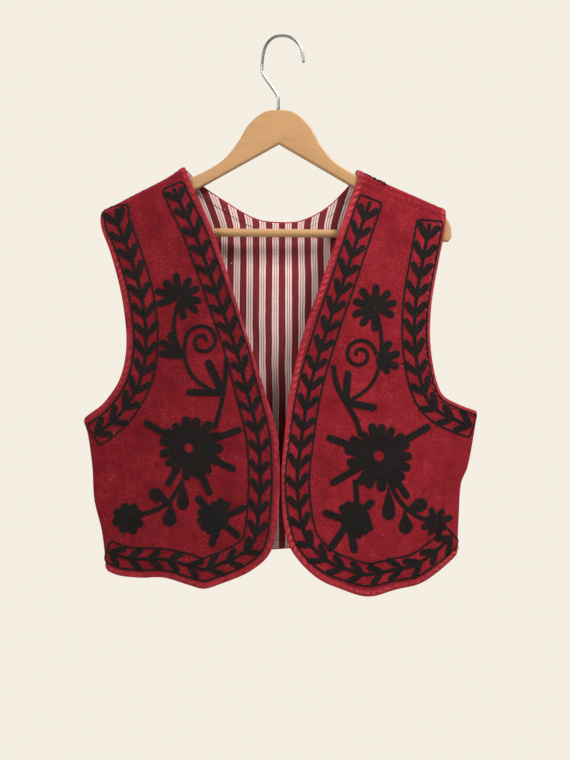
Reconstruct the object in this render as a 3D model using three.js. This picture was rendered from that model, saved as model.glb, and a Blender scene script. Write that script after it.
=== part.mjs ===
// An embroidered velvet vest, open in front and lined in striped cotton, on a wooden hanger.
// Millimetres, +Z up. The vest's front faces -Y and its wearer's left is towards +X.
// The origin is the inside of the hook's crown, the point that rests on whatever holds the hanger up.
//
// Each cloth panel is drawn flat first, as x across and z up, by smooth curves through short tables.
// The flat panel is then laid over the hanger: below the shoulder it hangs with a shallow belly,
// at the shoulder it bends over the arms, and at the sides it folds round to the side seam.
import * as THREE from 'three';

// ---- Cloth ----
const VELVET = 1.4; // thickness of the outer cloth
const LINING = 1.0; // thickness of the lining
const GAP = 0.3; // between plies, and across each seam
const SHOULDER_ROLL = 10.5; // radius of the velvet's outer face over the hanger's arms
const SIDE_ROLL = 4.5; // radius of the velvet's outer face at the side seams
const FRONT_BELLY = 18; // how far the fronts stand off the side seams at the middle
const BACK_BELLY = 15; // the same for the back
const SETTLE = 120; // fall below the shoulder roll over which the cloth reaches its full depth

// ---- Columns and rows of each panel's grid ----
// Places from the neck point, 0, out to the shoulder tip, 1, closest together at the side's fold.
const SHOULDER_COLUMNS = [0, 0.12, 0.25, 0.38, 0.52, 0.66, 0.8, 0.9, 0.955, 0.98, 1];
const SHOULDER_SHARE = 0.34; // of the back's width, taken by each shoulder
// Places along the back's neck edge from the right neck point, closest where it crosses the hanger.
const NECK_COLUMNS = [0.03, 0.07, 0.16, 0.28, 0.4, 0.52, 0.64, 0.76, 0.85, 0.895, 0.93, 0.965];
const SIDE_ROWS = 7; // from the hem up to the armpit
const ARMHOLE_ROWS = 8; // from the armpit up to where the shoulder's bend begins
const BEND_ROWS = 5; // over the bend, up to the shoulder seam
const BEND_SHARE = 0.08; // of a panel's height, taken by the bend

// ---- Wooden hanger ----
const HANGER_TILT = 0.6; // degrees that it hangs out of level, its left end low
const ARM_THICK = 11.5; // front to back
const ARM_ROUNDING = 2.5; // rounding of the wood's edges
const BAR_DIAMETER = 10.5;
const BAR_HEIGHT = -251; // centre of the trouser bar
const BAR_REACH = 200; // half the distance between the arms' inner ends
const WIRE = 3.8; // diameter of the hook's wire

// ---- Outlines, one row for each place where an edge changes its course ----
// crest: the line along which the cloth passes over the hanger's arm, past both its ends
// seam: how far along the roll, from its front start, the shoulder seam lies
// edge: front edge from below the neck point down, round the hem's corner and along the hem
// armhole: from below the shoulder tip down to above the armpit
// side: the side's outline, carried on above the armpit and below the hem
const RIGHT = {
  sign: -1,
  neckX: -127,
  tipX: -231,
  crest: [
    { x: -60, z: -128 },
    { x: -127, z: -167.5 },
    { x: -150, z: -182 },
    { x: -190, z: -202.5 },
    { x: -231, z: -224.5 },
    { x: -270, z: -247 },
  ],
  seam: { neck: 18.5, tip: 18.5 },
  edge: [
    { x: -112, z: -196 },
    { x: -89, z: -246 },
    { x: -58.5, z: -337 },
    { x: -21.5, z: -454 },
    { x: -6.5, z: -505 },
    { x: -3, z: -546 },
    { x: -4, z: -596 },
    { x: -14.5, z: -656 },
    { x: -38, z: -679 },
    { x: -78.5, z: -697 },
    { x: -99, z: -703 },
    { x: -119, z: -698 },
    { x: -150, z: -689.5 },
    { x: -180, z: -690.5 },
    { x: -210, z: -688 },
  ],
  corner: { x: -14.5, z: -656 },
  armhole: [
    { x: -230, z: -244 },
    { x: -218.5, z: -276.5 },
    { x: -203, z: -337.5 },
    { x: -198, z: -398.5 },
    { x: -207, z: -439 },
    { x: -228.5, z: -469.5 },
    { x: -243, z: -480.5 },
  ],
  armpitZ: -490,
  hemZ: -681,
  side: [
    { z: -726, x: -221 },
    { z: -673, x: -226 },
    { z: -632, x: -231 },
    { z: -592, x: -240.5 },
    { z: -551, x: -243 },
    { z: -510, x: -248.5 },
    { z: -490, x: -253.5 },
    { z: -406, x: -260 },
    { z: -156, x: -260 },
  ],
};
const LEFT = {
  sign: 1,
  neckX: 98,
  tipX: 209,
  crest: [
    { x: 40, z: -140 },
    { x: 98, z: -171 },
    { x: 135, z: -188.5 },
    { x: 175, z: -206 },
    { x: 209, z: -221.5 },
    { x: 270, z: -251 },
  ],
  seam: { neck: 0.5, tip: 6.5 },
  edge: [
    { x: 92.5, z: -195 },
    { x: 76, z: -240 },
    { x: 52.5, z: -307.5 },
    { x: 26.5, z: -382 },
    { x: 10, z: -450.5 },
    { x: 2.5, z: -515 },
    { x: -0.5, z: -551 },
    { x: -0.5, z: -591 },
    { x: 3, z: -624 },
    { x: 12, z: -654 },
    { x: 43, z: -688 },
    { x: 74, z: -703 },
    { x: 109, z: -713 },
    { x: 145, z: -704.5 },
    { x: 175, z: -698 },
    { x: 196, z: -685.5 },
    { x: 214, z: -671 },
  ],
  corner: { x: 12, z: -654 },
  armhole: [
    { x: 207.5, z: -246 },
    { x: 199.5, z: -287 },
    { x: 189.5, z: -347.5 },
    { x: 189, z: -398.5 },
    { x: 198, z: -445 },
    { x: 206, z: -459.5 },
    { x: 226, z: -470.5 },
  ],
  armpitZ: -480,
  hemZ: -659,
  side: [
    { z: -726, x: 222.5 },
    { z: -659, x: 224.5 },
    { z: -612, x: 226.5 },
    { z: -571, x: 229.5 },
    { z: -551, x: 237.5 },
    { z: -510, x: 245.5 },
    { z: -480, x: 249.5 },
    { z: -406, x: 254 },
    { z: -156, x: 254 },
  ],
};
// The back's neck edge from the right neck point to the left one, and its hem from right to left.
const BACK_NECK = [
  { x: -115, z: -177 },
  { x: -101, z: -189.5 },
  { x: -77, z: -205.5 },
  { x: -31, z: -230.5 },
  { x: 0, z: -234 },
  { x: 23, z: -232.5 },
  { x: 55, z: -217.5 },
  { x: 78, z: -197 },
  { x: 92, z: -179 },
];
const BACK_HEM = [
  { x: -150, z: -674 },
  { x: -60, z: -663 },
  { x: 0, z: -658.5 },
  { x: 60, z: -656 },
  { x: 150, z: -659 },
];

// Large soft folds of the hanging cloth. lean is the fold's angle from upright, towards +X at its top;
// length and width are its reach each way, and rise is how far it stands out, or in where it is negative.
const FRONT_FOLDS = [
  { x: -240, z: -526, lean: -8, length: 45, width: 16, rise: 2.5 },
  { x: -212, z: -556, lean: 45, length: 45, width: 22, rise: -3.5 },
  { x: -150, z: -616, lean: -6, length: 90, width: 36, rise: 3 },
  { x: -155, z: -306, lean: 14, length: 80, width: 26, rise: -3 },
  { x: 212, z: -596, lean: 28, length: 50, width: 18, rise: 4 },
  { x: 150, z: -626, lean: 10, length: 80, width: 40, rise: 3 },
  { x: 130, z: -276, lean: -12, length: 80, width: 26, rise: -3 },
];
const BACK_FOLDS = [
  { x: -130, z: -526, lean: 12, length: 150, width: 34, rise: 4 },
  { x: -40, z: -566, lean: -5, length: 120, width: 30, rise: -3.5 },
  { x: 60, z: -526, lean: 4, length: 150, width: 34, rise: 3.5 },
  { x: 160, z: -566, lean: -14, length: 110, width: 30, rise: -3 },
  { x: 10, z: -336, lean: 0, length: 70, width: 60, rise: -3 },
];

// The hanger's half outline in its own level frame, from its middle: along the top to the tip, and
// the underside from the bar's end back to the sharp middle.
const HANGER_MIDDLE = -2.5; // the wood's middle, across from the hook's crown
const HANGER_TOP = [
  { x: 0, z: -94 },
  { x: 17, z: -96 },
  { x: 37, z: -111 },
  { x: 54, z: -138.5 },
  { x: 72, z: -159.5 },
  { x: 108, z: -180.5 },
  { x: 139, z: -193.5 },
  { x: 179, z: -210.5 },
  { x: 211, z: -226 },
  { x: 220, z: -239 },
  { x: 222, z: -254 },
];
const TIP_FOOT = { x: 218, z: -260 }; // lower outer corner of each arm
const HANGER_UNDER = [
  { x: BAR_REACH, z: -240.5 },
  { x: 150, z: -218.5 },
  { x: 100, z: -194 },
  { x: 0, z: -137 },
];

// The hook's wire from just over the wood up over its crown to its open end, along its centre.
const HOOK = [
  { x: -3.7, z: -93.6 },
  { x: -3.9, z: -79 },
  { x: -5.4, z: -74.5 },
  { x: -23.6, z: -47.5 },
  { x: -25.1, z: -42 },
  { x: -22.8, z: -17.5 },
  { x: -18.4, z: -7.5 },
  { x: -10.5, z: -0.2 },
  { x: 0, z: WIRE / 2 },
  { x: 9, z: 0.8 },
  { x: 16.5, z: -3.6 },
  { x: 22.6, z: -10 },
  { x: 26, z: -18 },
  { x: 28, z: -33 },
];
const COLOURS = { velvet: 0x941f30, lining: 0xb98083, wood: 0xd7a876, steel: 0xb9bbbd };

// ---- Curves ----

/** A smooth curve through the rows, as a function from 0 to 1 along its length to {x, z}. */
function through(rows) {
  const points = rows.map((row) => new THREE.Vector3(row.x, 0, row.z));
  const curve = new THREE.CatmullRomCurve3(points, false, 'centripetal');
  curve.arcLengthDivisions = 40 * rows.length;
  return (along) => {
    const point = curve.getPointAt(THREE.MathUtils.clamp(along, 0, 1));
    return { x: point.x, z: point.z };
  };
}

/** The part of a curve between two places along it, as a curve of its own. */
function stretch(curve, start, end) {
  return (along) => curve(start + (end - start) * along);
}

/** Where along a curve it comes nearest to a point. */
function placeOf(curve, point) {
  const steps = 2000;
  let nearest = 0;
  let least = Infinity;
  for (let i = 0; i <= steps; i += 1) {
    const there = curve(i / steps);
    const distance = Math.hypot(there.x - point.x, there.z - point.z);
    if (distance < least) [nearest, least] = [i / steps, distance];
  }
  return nearest;
}

/** A smooth value of one column against another, through rows in rising or falling order. */
function tableOf(rows, from, to) {
  const sorted = [...rows].sort((a, b) => a[from] - b[from]);
  const at = sorted.map((row) => row[from]);
  const value = sorted.map((row) => row[to]);
  const last = at.length - 1;
  const slope = at.map((_, i) => {
    const [before, after] = [Math.max(i - 1, 0), Math.min(i + 1, last)];
    return (value[after] - value[before]) / (at[after] - at[before]);
  });
  return (wanted) => {
    if (wanted <= at[0]) return value[0] + slope[0] * (wanted - at[0]);
    if (wanted >= at[last]) return value[last] + slope[last] * (wanted - at[last]);
    const i = at.findIndex((place) => place > wanted) - 1;
    const span = at[i + 1] - at[i];
    const t = (wanted - at[i]) / span;
    const [a, b] = [t * t * (3 - 2 * t), t * (1 - t)];
    const bend = b * (1 - t) * slope[i] - b * t * slope[i + 1];
    return value[i] + (value[i + 1] - value[i]) * a + span * bend;
  };
}

// ---- The hanging cloth ----

const QUARTER = SIDE_ROLL * Math.PI / 2; // cloth used by the quarter turn at a side seam
const TURN = QUARTER - SIDE_ROLL; // how far the flat side lies outside the outline
const OVER = SHOULDER_ROLL * Math.PI; // cloth used over a shoulder, from front to back

for (const side of [RIGHT, LEFT]) {
  side.crestAt = tableOf(side.crest, 'x', 'z');
  side.outlineAt = tableOf(side.side, 'z', 'x');
  side.flatSideAt = (z) => side.outlineAt(z) + side.sign * TURN;
  side.seamAt = (x) => {
    const along = (x - side.neckX) / (side.tipX - side.neckX);
    return THREE.MathUtils.lerp(side.seam.neck, side.seam.tip, along);
  };
}

/** How far the large folds push the cloth outwards at a place. */
function foldsAt(folds, x, z) {
  let out = 0;
  for (const fold of folds) {
    const lean = THREE.MathUtils.degToRad(fold.lean);
    const along = (x - fold.x) * Math.sin(lean) + (z - fold.z) * Math.cos(lean);
    const across = (x - fold.x) * Math.cos(lean) - (z - fold.z) * Math.sin(lean);
    out += fold.rise * Math.exp(-((along / fold.length) ** 2) - (across / fold.width) ** 2);
  }
  return out;
}

/** The place in space of a flat point on the velvet's outer face. face is -1 in front and 1 behind. */
function hang(face, x, z) {
  const side = x < (RIGHT.neckX + LEFT.neckX) / 2 ? RIGHT : LEFT;
  const start = side.crestAt(x) - SHOULDER_ROLL; // where the roll begins
  const past = z - start;
  if (past > 0) {
    const angle = past / SHOULDER_ROLL;
    const y = face * (SHOULDER_ROLL * Math.cos(angle) + GAP / 2);
    return new THREE.Vector3(x, y, start + SHOULDER_ROLL * Math.sin(angle));
  }
  const inwards = side.sign * (side.flatSideAt(z) - x); // cloth between here and the side seam
  const angle = Math.min(inwards, QUARTER) / SIDE_ROLL;
  const edge = SIDE_ROLL * Math.sin(angle);
  const from = SIDE_ROLL * (1 - Math.cos(angle)) + Math.max(inwards - QUARTER, 0);
  const across = side.outlineAt(z) - side.sign * from;
  const [low, high] = [RIGHT.outlineAt(z), LEFT.outlineAt(z)];
  const middle = (2 * across - low - high) / (high - low);
  const belly = (face < 0 ? FRONT_BELLY : BACK_BELLY) * (1 - middle * middle);
  const settled = THREE.MathUtils.smoothstep(-past, 0, SETTLE);
  const free = THREE.MathUtils.smoothstep(from, 0, 30) * settled;
  const folds = foldsAt(face < 0 ? FRONT_FOLDS : BACK_FOLDS, across, z) * free;
  const depth = THREE.MathUtils.lerp(SHOULDER_ROLL, edge + belly, settled) + folds;
  return new THREE.Vector3(across, face * (depth + GAP / 2), z);
}

/** A point at a depth into the cloth, measured square to the velvet's outer face. */
function inside(face, x, z, depth) {
  const step = 0.05;
  const across = hang(face, x + step, z).sub(hang(face, x - step, z));
  const up = hang(face, x, z + step).sub(hang(face, x, z - step));
  const out = across.cross(up).normalize().multiplyScalar(-face);
  return hang(face, x, z).addScaledVector(out, -depth);
}

/** A flat panel: from two numbers, 0 to 1 across and up, to a flat point between its four edges. */
function between({ first, last, hem, top }) {
  const corners = [hem(0), hem(1), top(0), top(1)];
  const blend = (u, v, key) => {
    const sides = (1 - u) * first(v)[key] + u * last(v)[key];
    const ends = (1 - v) * hem(u)[key] + v * top(u)[key];
    const low = (1 - u) * corners[0][key] + u * corners[1][key];
    const high = (1 - u) * corners[2][key] + u * corners[3][key];
    return sides + ends - (1 - v) * low - v * high;
  };
  return (u, v) => ({ x: blend(u, v, 'x'), z: blend(u, v, 'z') });
}

/** Even steps from one number to another, without the last. */
function evenly(from, to, steps) {
  return Array.from({ length: steps }, (_, i) => from + (to - from) * i / steps);
}

/** One ply of a panel as a closed wall between two depths below the velvet's outer face. */
function ply(panel, face, places, outer, inner) {
  const [columns, rows] = [places.length - 1, ROW_HEIGHTS.length - 1];
  const flat = ROW_HEIGHTS.flatMap((v) => places.map((u) => panel(u, v)));
  const positions = [outer, inner].flatMap((depth) =>
    flat.flatMap((point) => inside(face, point.x, point.z, depth).toArray()));
  const at = (i, j, layer) => (layer * (rows + 1) + j) * (columns + 1) + i;
  const under = at(0, 0, 1);
  const apart = (a, b) => Math.hypot(flat[a].x - flat[b].x, flat[a].z - flat[b].z);
  const index = [];
  const quad = (a, b, c, d) => index.push(a, b, c, a, c, d);
  for (let j = 0; j < rows; j += 1) {
    for (let i = 0; i < columns; i += 1) {
      // Both faces of every ply split a cell along its shorter diagonal, so that plies stay clear.
      const corners = [at(i, j, 0), at(i + 1, j, 0), at(i + 1, j + 1, 0), at(i, j + 1, 0)];
      const rising = apart(corners[0], corners[2]) <= apart(corners[1], corners[3]);
      const around = rising ? corners : [...corners.slice(1), corners[0]];
      const [a, b, c, d] = around;
      quad(a, b, c, d);
      quad(a + under, d + under, c + under, b + under);
    }
  }
  for (let i = 0; i < columns; i += 1) {
    quad(at(i, 0, 1), at(i + 1, 0, 1), at(i + 1, 0, 0), at(i, 0, 0));
    quad(at(i, rows, 0), at(i + 1, rows, 0), at(i + 1, rows, 1), at(i, rows, 1));
  }
  for (let j = 0; j < rows; j += 1) {
    quad(at(0, j, 0), at(0, j + 1, 0), at(0, j + 1, 1), at(0, j, 1));
    quad(at(columns, j, 1), at(columns, j + 1, 1), at(columns, j + 1, 0), at(columns, j, 0));
  }
  return closed(positions, index);
}

/** A geometry from positions and triangles, turned inside out if its volume is negative. */
function closed(positions, index) {
  let volume = 0;
  const corner = (i) => new THREE.Vector3().fromArray(positions, 3 * index[i]);
  for (let i = 0; i < index.length; i += 3) {
    volume += corner(i).dot(corner(i + 1).cross(corner(i + 2)));
  }
  if (volume < 0) index.reverse();
  const geometry = new THREE.BufferGeometry();
  geometry.setAttribute('position', new THREE.Float32BufferAttribute(positions, 3));
  geometry.setIndex(index);
  geometry.computeVertexNormals();
  return geometry;
}

// ---- The panels' edges ----

const ARMPIT = 0.42; // how far up a panel its armpit lies
const BACK_COLUMNS = [
  ...SHOULDER_COLUMNS.map((along) => (1 - along) * SHOULDER_SHARE).reverse(),
  ...NECK_COLUMNS.map((along) => SHOULDER_SHARE + along * (1 - 2 * SHOULDER_SHARE)),
  ...SHOULDER_COLUMNS.map((along) => 1 - (1 - along) * SHOULDER_SHARE),
];
const ROW_HEIGHTS = [
  ...evenly(0, ARMPIT, SIDE_ROWS),
  ...evenly(ARMPIT, 1 - BEND_SHARE, ARMHOLE_ROWS),
  ...evenly(1 - BEND_SHARE, 1, BEND_ROWS),
  1,
];

/** Flat height of a shoulder seam, with half a gap left, on the front or the back panel. */
function shoulderZ(side, face, x) {
  const along = face < 0 ? side.seamAt(x) : OVER - side.seamAt(x);
  return side.crestAt(x) - SHOULDER_ROLL + along - GAP / 2;
}

/** The shoulder seam from the neck point to the tip. */
function shoulder(side, face) {
  return (along) => {
    const x = THREE.MathUtils.lerp(side.neckX, side.tipX, along);
    return { x, z: shoulderZ(side, face, x) };
  };
}

/** The outer edge of a panel: up the side seam to the armpit, then up the armhole to the tip. */
function outerEdge(side, face) {
  const tip = shoulder(side, face)(1);
  const armpit = { x: side.flatSideAt(side.armpitZ), z: side.armpitZ };
  const armhole = through([tip, ...side.armhole, armpit]);
  return (v) => {
    if (v > ARMPIT) return armhole(1 - (v - ARMPIT) / (1 - ARMPIT));
    const z = THREE.MathUtils.lerp(side.hemZ, side.armpitZ, v / ARMPIT);
    return { x: side.flatSideAt(z), z };
  };
}

/** The flat panel of one front. */
function frontPanel(side) {
  const neck = shoulder(side, -1)(0);
  const foot = { x: side.flatSideAt(side.hemZ), z: side.hemZ };
  const edge = through([neck, ...side.edge, foot]);
  const corner = placeOf(edge, side.corner);
  return between({
    first: stretch(edge, corner, 0),
    last: outerEdge(side, -1),
    hem: stretch(edge, corner, 1),
    top: shoulder(side, -1),
  });
}

/** The flat panel of the back, from the wearer's right side to the left. */
function backPanel() {
  const [rightNeck, leftNeck] = [SHOULDER_SHARE, 1 - SHOULDER_SHARE];
  const [right, left] = [shoulder(RIGHT, 1), shoulder(LEFT, 1)];
  const neck = through([right(0), ...BACK_NECK, left(0)]);
  const feet = [RIGHT, LEFT].map((side) => ({ x: side.flatSideAt(side.hemZ), z: side.hemZ }));
  return between({
    first: outerEdge(RIGHT, 1),
    last: outerEdge(LEFT, 1),
    hem: through([feet[0], ...BACK_HEM, feet[1]]),
    top: (u) => {
      if (u <= rightNeck) return right(1 - u / rightNeck);
      if (u >= leftNeck) return left((u - leftNeck) / (1 - leftNeck));
      return neck((u - rightNeck) / (leftNeck - rightNeck));
    },
  });
}

// ---- The hanger ----

/** Points of a smooth edge through rows, on one side of the hanger. */
function edgePoints(rows, sign, steps) {
  const curve = through(rows);
  const points = [];
  for (let i = 0; i <= steps; i += 1) {
    const there = curve(i / steps);
    points.push(new THREE.Vector2(sign * there.x, there.z));
  }
  return points;
}

/** The wooden arms as one board with rounded edges. */
function hangerBody() {
  const half = (sign) => [
    ...edgePoints(HANGER_TOP, sign, 28),
    new THREE.Vector2(sign * TIP_FOOT.x, TIP_FOOT.z),
    new THREE.Vector2(sign * BAR_REACH, TIP_FOOT.z),
    ...HANGER_UNDER.map((row) => new THREE.Vector2(sign * row.x, row.z)),
  ];
  const outline = [...half(1), ...half(-1).reverse().slice(1, -1)];
  const inset = ARM_ROUNDING;
  const board = new THREE.ExtrudeGeometry(new THREE.Shape(outline), {
    depth: ARM_THICK - 2 * inset,
    bevelThickness: inset,
    bevelSize: inset,
    bevelOffset: -inset,
    bevelSegments: 2,
  });
  board.translate(0, 0, -(ARM_THICK / 2 - inset));
  return board.rotateX(Math.PI / 2);
}

/** The round trouser bar between the arms' inner ends. */
function hangerBar() {
  const bar = new THREE.CylinderGeometry(BAR_DIAMETER / 2, BAR_DIAMETER / 2, 2 * (BAR_REACH - GAP), 24);
  return bar.rotateZ(Math.PI / 2).translate(0, 0, BAR_HEIGHT);
}

/** The wire hook, a round wire bent along the hook's line, standing just clear of the wood. */
function hangerHook() {
  const sides = 10;
  const path = new THREE.CatmullRomCurve3(
    HOOK.map((row) => new THREE.Vector3(row.x, 0, row.z)), false, 'centripetal');
  const section = new THREE.Shape(Array.from({ length: sides }, (_, i) => {
    const angle = 2 * Math.PI * i / sides;
    return new THREE.Vector2(Math.cos(angle), Math.sin(angle)).multiplyScalar(WIRE / 2);
  }));
  return new THREE.ExtrudeGeometry(section, { extrudePath: path, steps: 36 });
}

// ---- Assembly ----

/** A named mesh with its finish. */
function piece(name, geometry, color, roughness, metalness = 0) {
  const material = new THREE.MeshStandardMaterial({ color, roughness, metalness });
  const mesh = new THREE.Mesh(geometry, material);
  mesh.name = name;
  return mesh;
}

const vest = new THREE.Group();
const panels = [
  { velvet: 'front_right', lining: 'lining_front_right', panel: frontPanel(RIGHT), face: -1 },
  { velvet: 'front_left', lining: 'lining_front_left', panel: frontPanel(LEFT), face: -1 },
  { velvet: 'back', lining: 'lining_back', panel: backPanel(), face: 1 },
];
for (const { velvet, lining, panel, face } of panels) {
  const columns = face < 0 ? SHOULDER_COLUMNS : BACK_COLUMNS;
  const under = VELVET + GAP;
  vest.add(piece(velvet, ply(panel, face, columns, 0, VELVET), COLOURS.velvet, 0.9));
  vest.add(piece(lining, ply(panel, face, columns, under, under + LINING), COLOURS.lining, 0.85));
}

const hanger = new THREE.Group();
hanger.rotation.y = THREE.MathUtils.degToRad(HANGER_TILT);
const wood = new THREE.Group();
wood.position.x = HANGER_MIDDLE;
wood.add(piece('hanger_body', hangerBody(), COLOURS.wood, 0.45));
wood.add(piece('hanger_bar', hangerBar(), COLOURS.wood, 0.4));
hanger.add(wood);
hanger.add(piece('hanger_hook', hangerHook(), COLOURS.steel, 0.25, 1));

const assembly = new THREE.Group();
assembly.add(vest, hanger);

export default assembly;
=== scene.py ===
"""An embroidered velvet vest on a wooden hanger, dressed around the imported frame.

Cut sizes are in millimetres, as a tailor gives them, and every mesh is made in metres.
The flat cut is x across, towards the wearer's left, and z up. The fronts face -Y.
"""

import logging
import math
from collections.abc import Callable, Iterable, Sequence
from dataclasses import dataclass, field
from enum import Enum

import bpy
import numpy as np
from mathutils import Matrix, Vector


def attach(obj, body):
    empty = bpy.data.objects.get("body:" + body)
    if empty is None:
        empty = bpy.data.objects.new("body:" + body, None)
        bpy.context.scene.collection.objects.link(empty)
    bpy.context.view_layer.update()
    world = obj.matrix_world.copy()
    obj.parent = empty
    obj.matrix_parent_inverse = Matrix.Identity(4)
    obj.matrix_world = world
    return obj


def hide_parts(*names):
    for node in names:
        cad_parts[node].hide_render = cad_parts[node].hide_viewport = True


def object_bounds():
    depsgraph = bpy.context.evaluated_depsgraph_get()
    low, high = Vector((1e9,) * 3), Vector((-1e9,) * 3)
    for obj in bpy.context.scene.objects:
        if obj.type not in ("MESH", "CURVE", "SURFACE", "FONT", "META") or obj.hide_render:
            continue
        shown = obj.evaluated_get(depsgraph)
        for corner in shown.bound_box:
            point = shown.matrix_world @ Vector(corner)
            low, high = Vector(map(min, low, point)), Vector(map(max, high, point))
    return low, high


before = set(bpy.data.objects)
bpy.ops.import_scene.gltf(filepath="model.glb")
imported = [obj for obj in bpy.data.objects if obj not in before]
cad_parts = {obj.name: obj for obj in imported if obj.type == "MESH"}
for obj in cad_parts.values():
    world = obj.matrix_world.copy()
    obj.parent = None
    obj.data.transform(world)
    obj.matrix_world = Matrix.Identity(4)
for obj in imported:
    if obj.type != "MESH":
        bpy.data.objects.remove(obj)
CAD_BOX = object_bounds()

log = logging.getLogger("vest")

Array = np.ndarray
Rows = tuple[tuple[float, float], ...]
Edge = Callable[[Array], Array]
Colour = tuple[float, float, float]
Piece = bpy.types.Object
Material = bpy.types.Material
Socket = bpy.types.NodeSocket

MM = 0.001
BODY = "root"
TINY = 1e-9


# ---------------------------------------------------------------- lines and tables


class Table:
    """A smooth value of one column against another, through rows in any order."""

    def __init__(self, rows: Rows) -> None:
        """Sorts the rows and finds the slope at each.

        Args:
            rows: Pairs of a place and the value there.
        """
        ordered = sorted(rows)
        self.at = np.array([row[0] for row in ordered])
        self.value = np.array([row[1] for row in ordered])
        count = np.arange(len(ordered))
        before = np.maximum(count - 1, 0)
        after = np.minimum(count + 1, len(ordered) - 1)
        self.slope = (self.value[after] - self.value[before]) / (self.at[after] - self.at[before])

    def __call__(self, wanted: Array) -> Array:
        """Gives the value at places, carried on straight past both ends.

        Args:
            wanted: Places to look up.

        Returns:
            The value at each place.
        """
        wanted = np.asarray(wanted, float)
        i = np.clip(np.searchsorted(self.at, wanted, side="right") - 1, 0, len(self.at) - 2)
        span = self.at[i + 1] - self.at[i]
        t = np.clip((wanted - self.at[i]) / span, 0.0, 1.0)
        rise = (self.value[i + 1] - self.value[i]) * t * t * (3 - 2 * t)
        bend = t * (1 - t) * ((1 - t) * self.slope[i] - t * self.slope[i + 1])
        low = np.minimum(wanted - self.at[0], 0) * self.slope[0]
        high = np.maximum(wanted - self.at[-1], 0) * self.slope[-1]
        return self.value[i] + rise + span * bend + low + high


class Line:
    """A line in the flat cut, sampled finely and asked for points by its share of length."""

    FINE = 48

    def __init__(self, points: Array) -> None:
        """Measures the line.

        Args:
            points: Its points in order, one row each.
        """
        self.points = np.asarray(points, float)
        steps = np.linalg.norm(np.diff(self.points, axis=0), axis=1)
        self.run = np.concatenate([[0.0], np.cumsum(steps)])
        self.length = float(self.run[-1])

    @classmethod
    def through(cls, rows: Sequence[Sequence[float]]) -> "Line":
        """Draws a smooth centripetal curve through rows.

        Args:
            rows: Points that the curve passes through.

        Returns:
            The curve as a finely sampled line.
        """
        knots = np.array(rows, float)
        ends = [2 * knots[0] - knots[1]], [2 * knots[-1] - knots[-2]]
        padded = np.vstack([ends[0], knots, ends[1]])
        t = np.linspace(0, 1, cls.FINE, endpoint=False)[:, None]
        pieces = []
        for a, b, c, d in zip(padded, padded[1:], padded[2:], padded[3:]):
            sides = (b - a, c - b, d - c)
            before, span, after = (math.sqrt(np.linalg.norm(side)) for side in sides)
            leave = ((b - a) / before - (c - a) / (before + span) + (c - b) / span) * span
            arrive = ((c - b) / span - (d - b) / (span + after) + (d - c) / after) * span
            square = -3 * b + 3 * c - 2 * leave - arrive
            cube = 2 * b - 2 * c + leave + arrive
            pieces.append(b + leave * t + square * t**2 + cube * t**3)
        return cls(np.vstack([*pieces, knots[-1:]]))

    def at(self, share: Array) -> Array:
        """Gives points at shares of the line's length, 0 to 1."""
        where = np.clip(share, 0.0, 1.0) * self.length
        return np.stack([np.interp(where, self.run, self.points[:, k]) for k in (0, 1)], -1)

    def across(self, share: Array) -> Array:
        """Gives unit directions square to the line, to its left, at shares of its length.

        Args:
            share: Shares of the length, 0 to 1.

        Returns:
            One unit direction for each share.
        """
        reach = 0.5 / max(self.length, 1.0)
        along = self.at(np.asarray(share) + reach) - self.at(np.asarray(share) - reach)
        along /= np.linalg.norm(along, axis=-1, keepdims=True) + TINY
        return np.stack([-along[..., 1], along[..., 0]], -1)

    def nearest(self, point: Sequence[float]) -> float:
        """Gives the share of the length at which the line comes nearest to a point."""
        share = np.linspace(0, 1, 2001)
        return float(share[np.argmin(np.linalg.norm(self.at(share) - np.array(point), axis=1))])

    def part(self, start: float, end: float) -> "Line":
        """Cuts out the stretch between two shares of the length, turned round if end is first."""
        return Line(self.at(np.linspace(start, end, 400)))

    def longer(self, spare: float) -> "Line":
        """Carries the line on straight past both ends by a length.

        Args:
            spare: How far it is carried on.

        Returns:
            The longer line.
        """
        start = self.at(np.array(0.0)) - self.at(np.array(6 / self.length))
        end = self.at(np.array(1.0)) - self.at(np.array(1 - 6 / self.length))
        unit = [way / (np.linalg.norm(way) + TINY) * spare for way in (start, end)]
        return Line(np.vstack([self.points[0] + unit[0], self.points, self.points[-1] + unit[1]]))

    def beside(self, distance: Array | float, towards: Array, ease: float = 0.0) -> "Line":
        """Draws the line again at a distance to one side.

        Args:
            distance: How far away it lies, all along or at each of 500 even places.
            towards: A point on the side that it moves to.
            ease: How far along its course each point is averaged, so that tight turns stay smooth.

        Returns:
            The line beside this one, with as many points.
        """
        share = np.linspace(0, 1, 500)
        here, side = self.at(share), self.across(share)
        middle = len(share) // 2
        sign = np.sign(np.dot(side[middle], np.asarray(towards) - here[middle]))
        moved = here + sign * np.broadcast_to(distance, share.shape)[:, None] * side
        reach = int(ease / max(self.length, 1.0) * len(share) / 2)
        if reach > 0:
            weight = np.hanning(2 * reach + 3)[1:-1]
            start = 2 * moved[0] - moved[1 : reach + 1][::-1]
            finish = 2 * moved[-1] - moved[-reach - 1 : -1][::-1]
            padded = np.vstack([start, moved, finish])
            moved = np.stack([np.convolve(padded[:, k], weight / weight.sum(), "valid") for k in (0, 1)], -1)
        return Line(moved)


def smoothstep(value: Array, low: float, high: float) -> Array:
    """Rises smoothly from 0 at low to 1 at high."""
    t = np.clip((value - low) / (high - low), 0.0, 1.0)
    return t * t * (3 - 2 * t)


def bell(value: Array, middle: float, width: float) -> Array:
    """Gives a smooth hump of height 1 round a middle, a width wide on each side."""
    return np.exp(-(((value - middle) / width) ** 2))


def heading(degrees: float) -> Array:
    """Gives the flat unit direction at an angle from +x towards +z."""
    return np.array([math.cos(math.radians(degrees)), math.sin(math.radians(degrees))])


# ---------------------------------------------------------------- the cut


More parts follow.
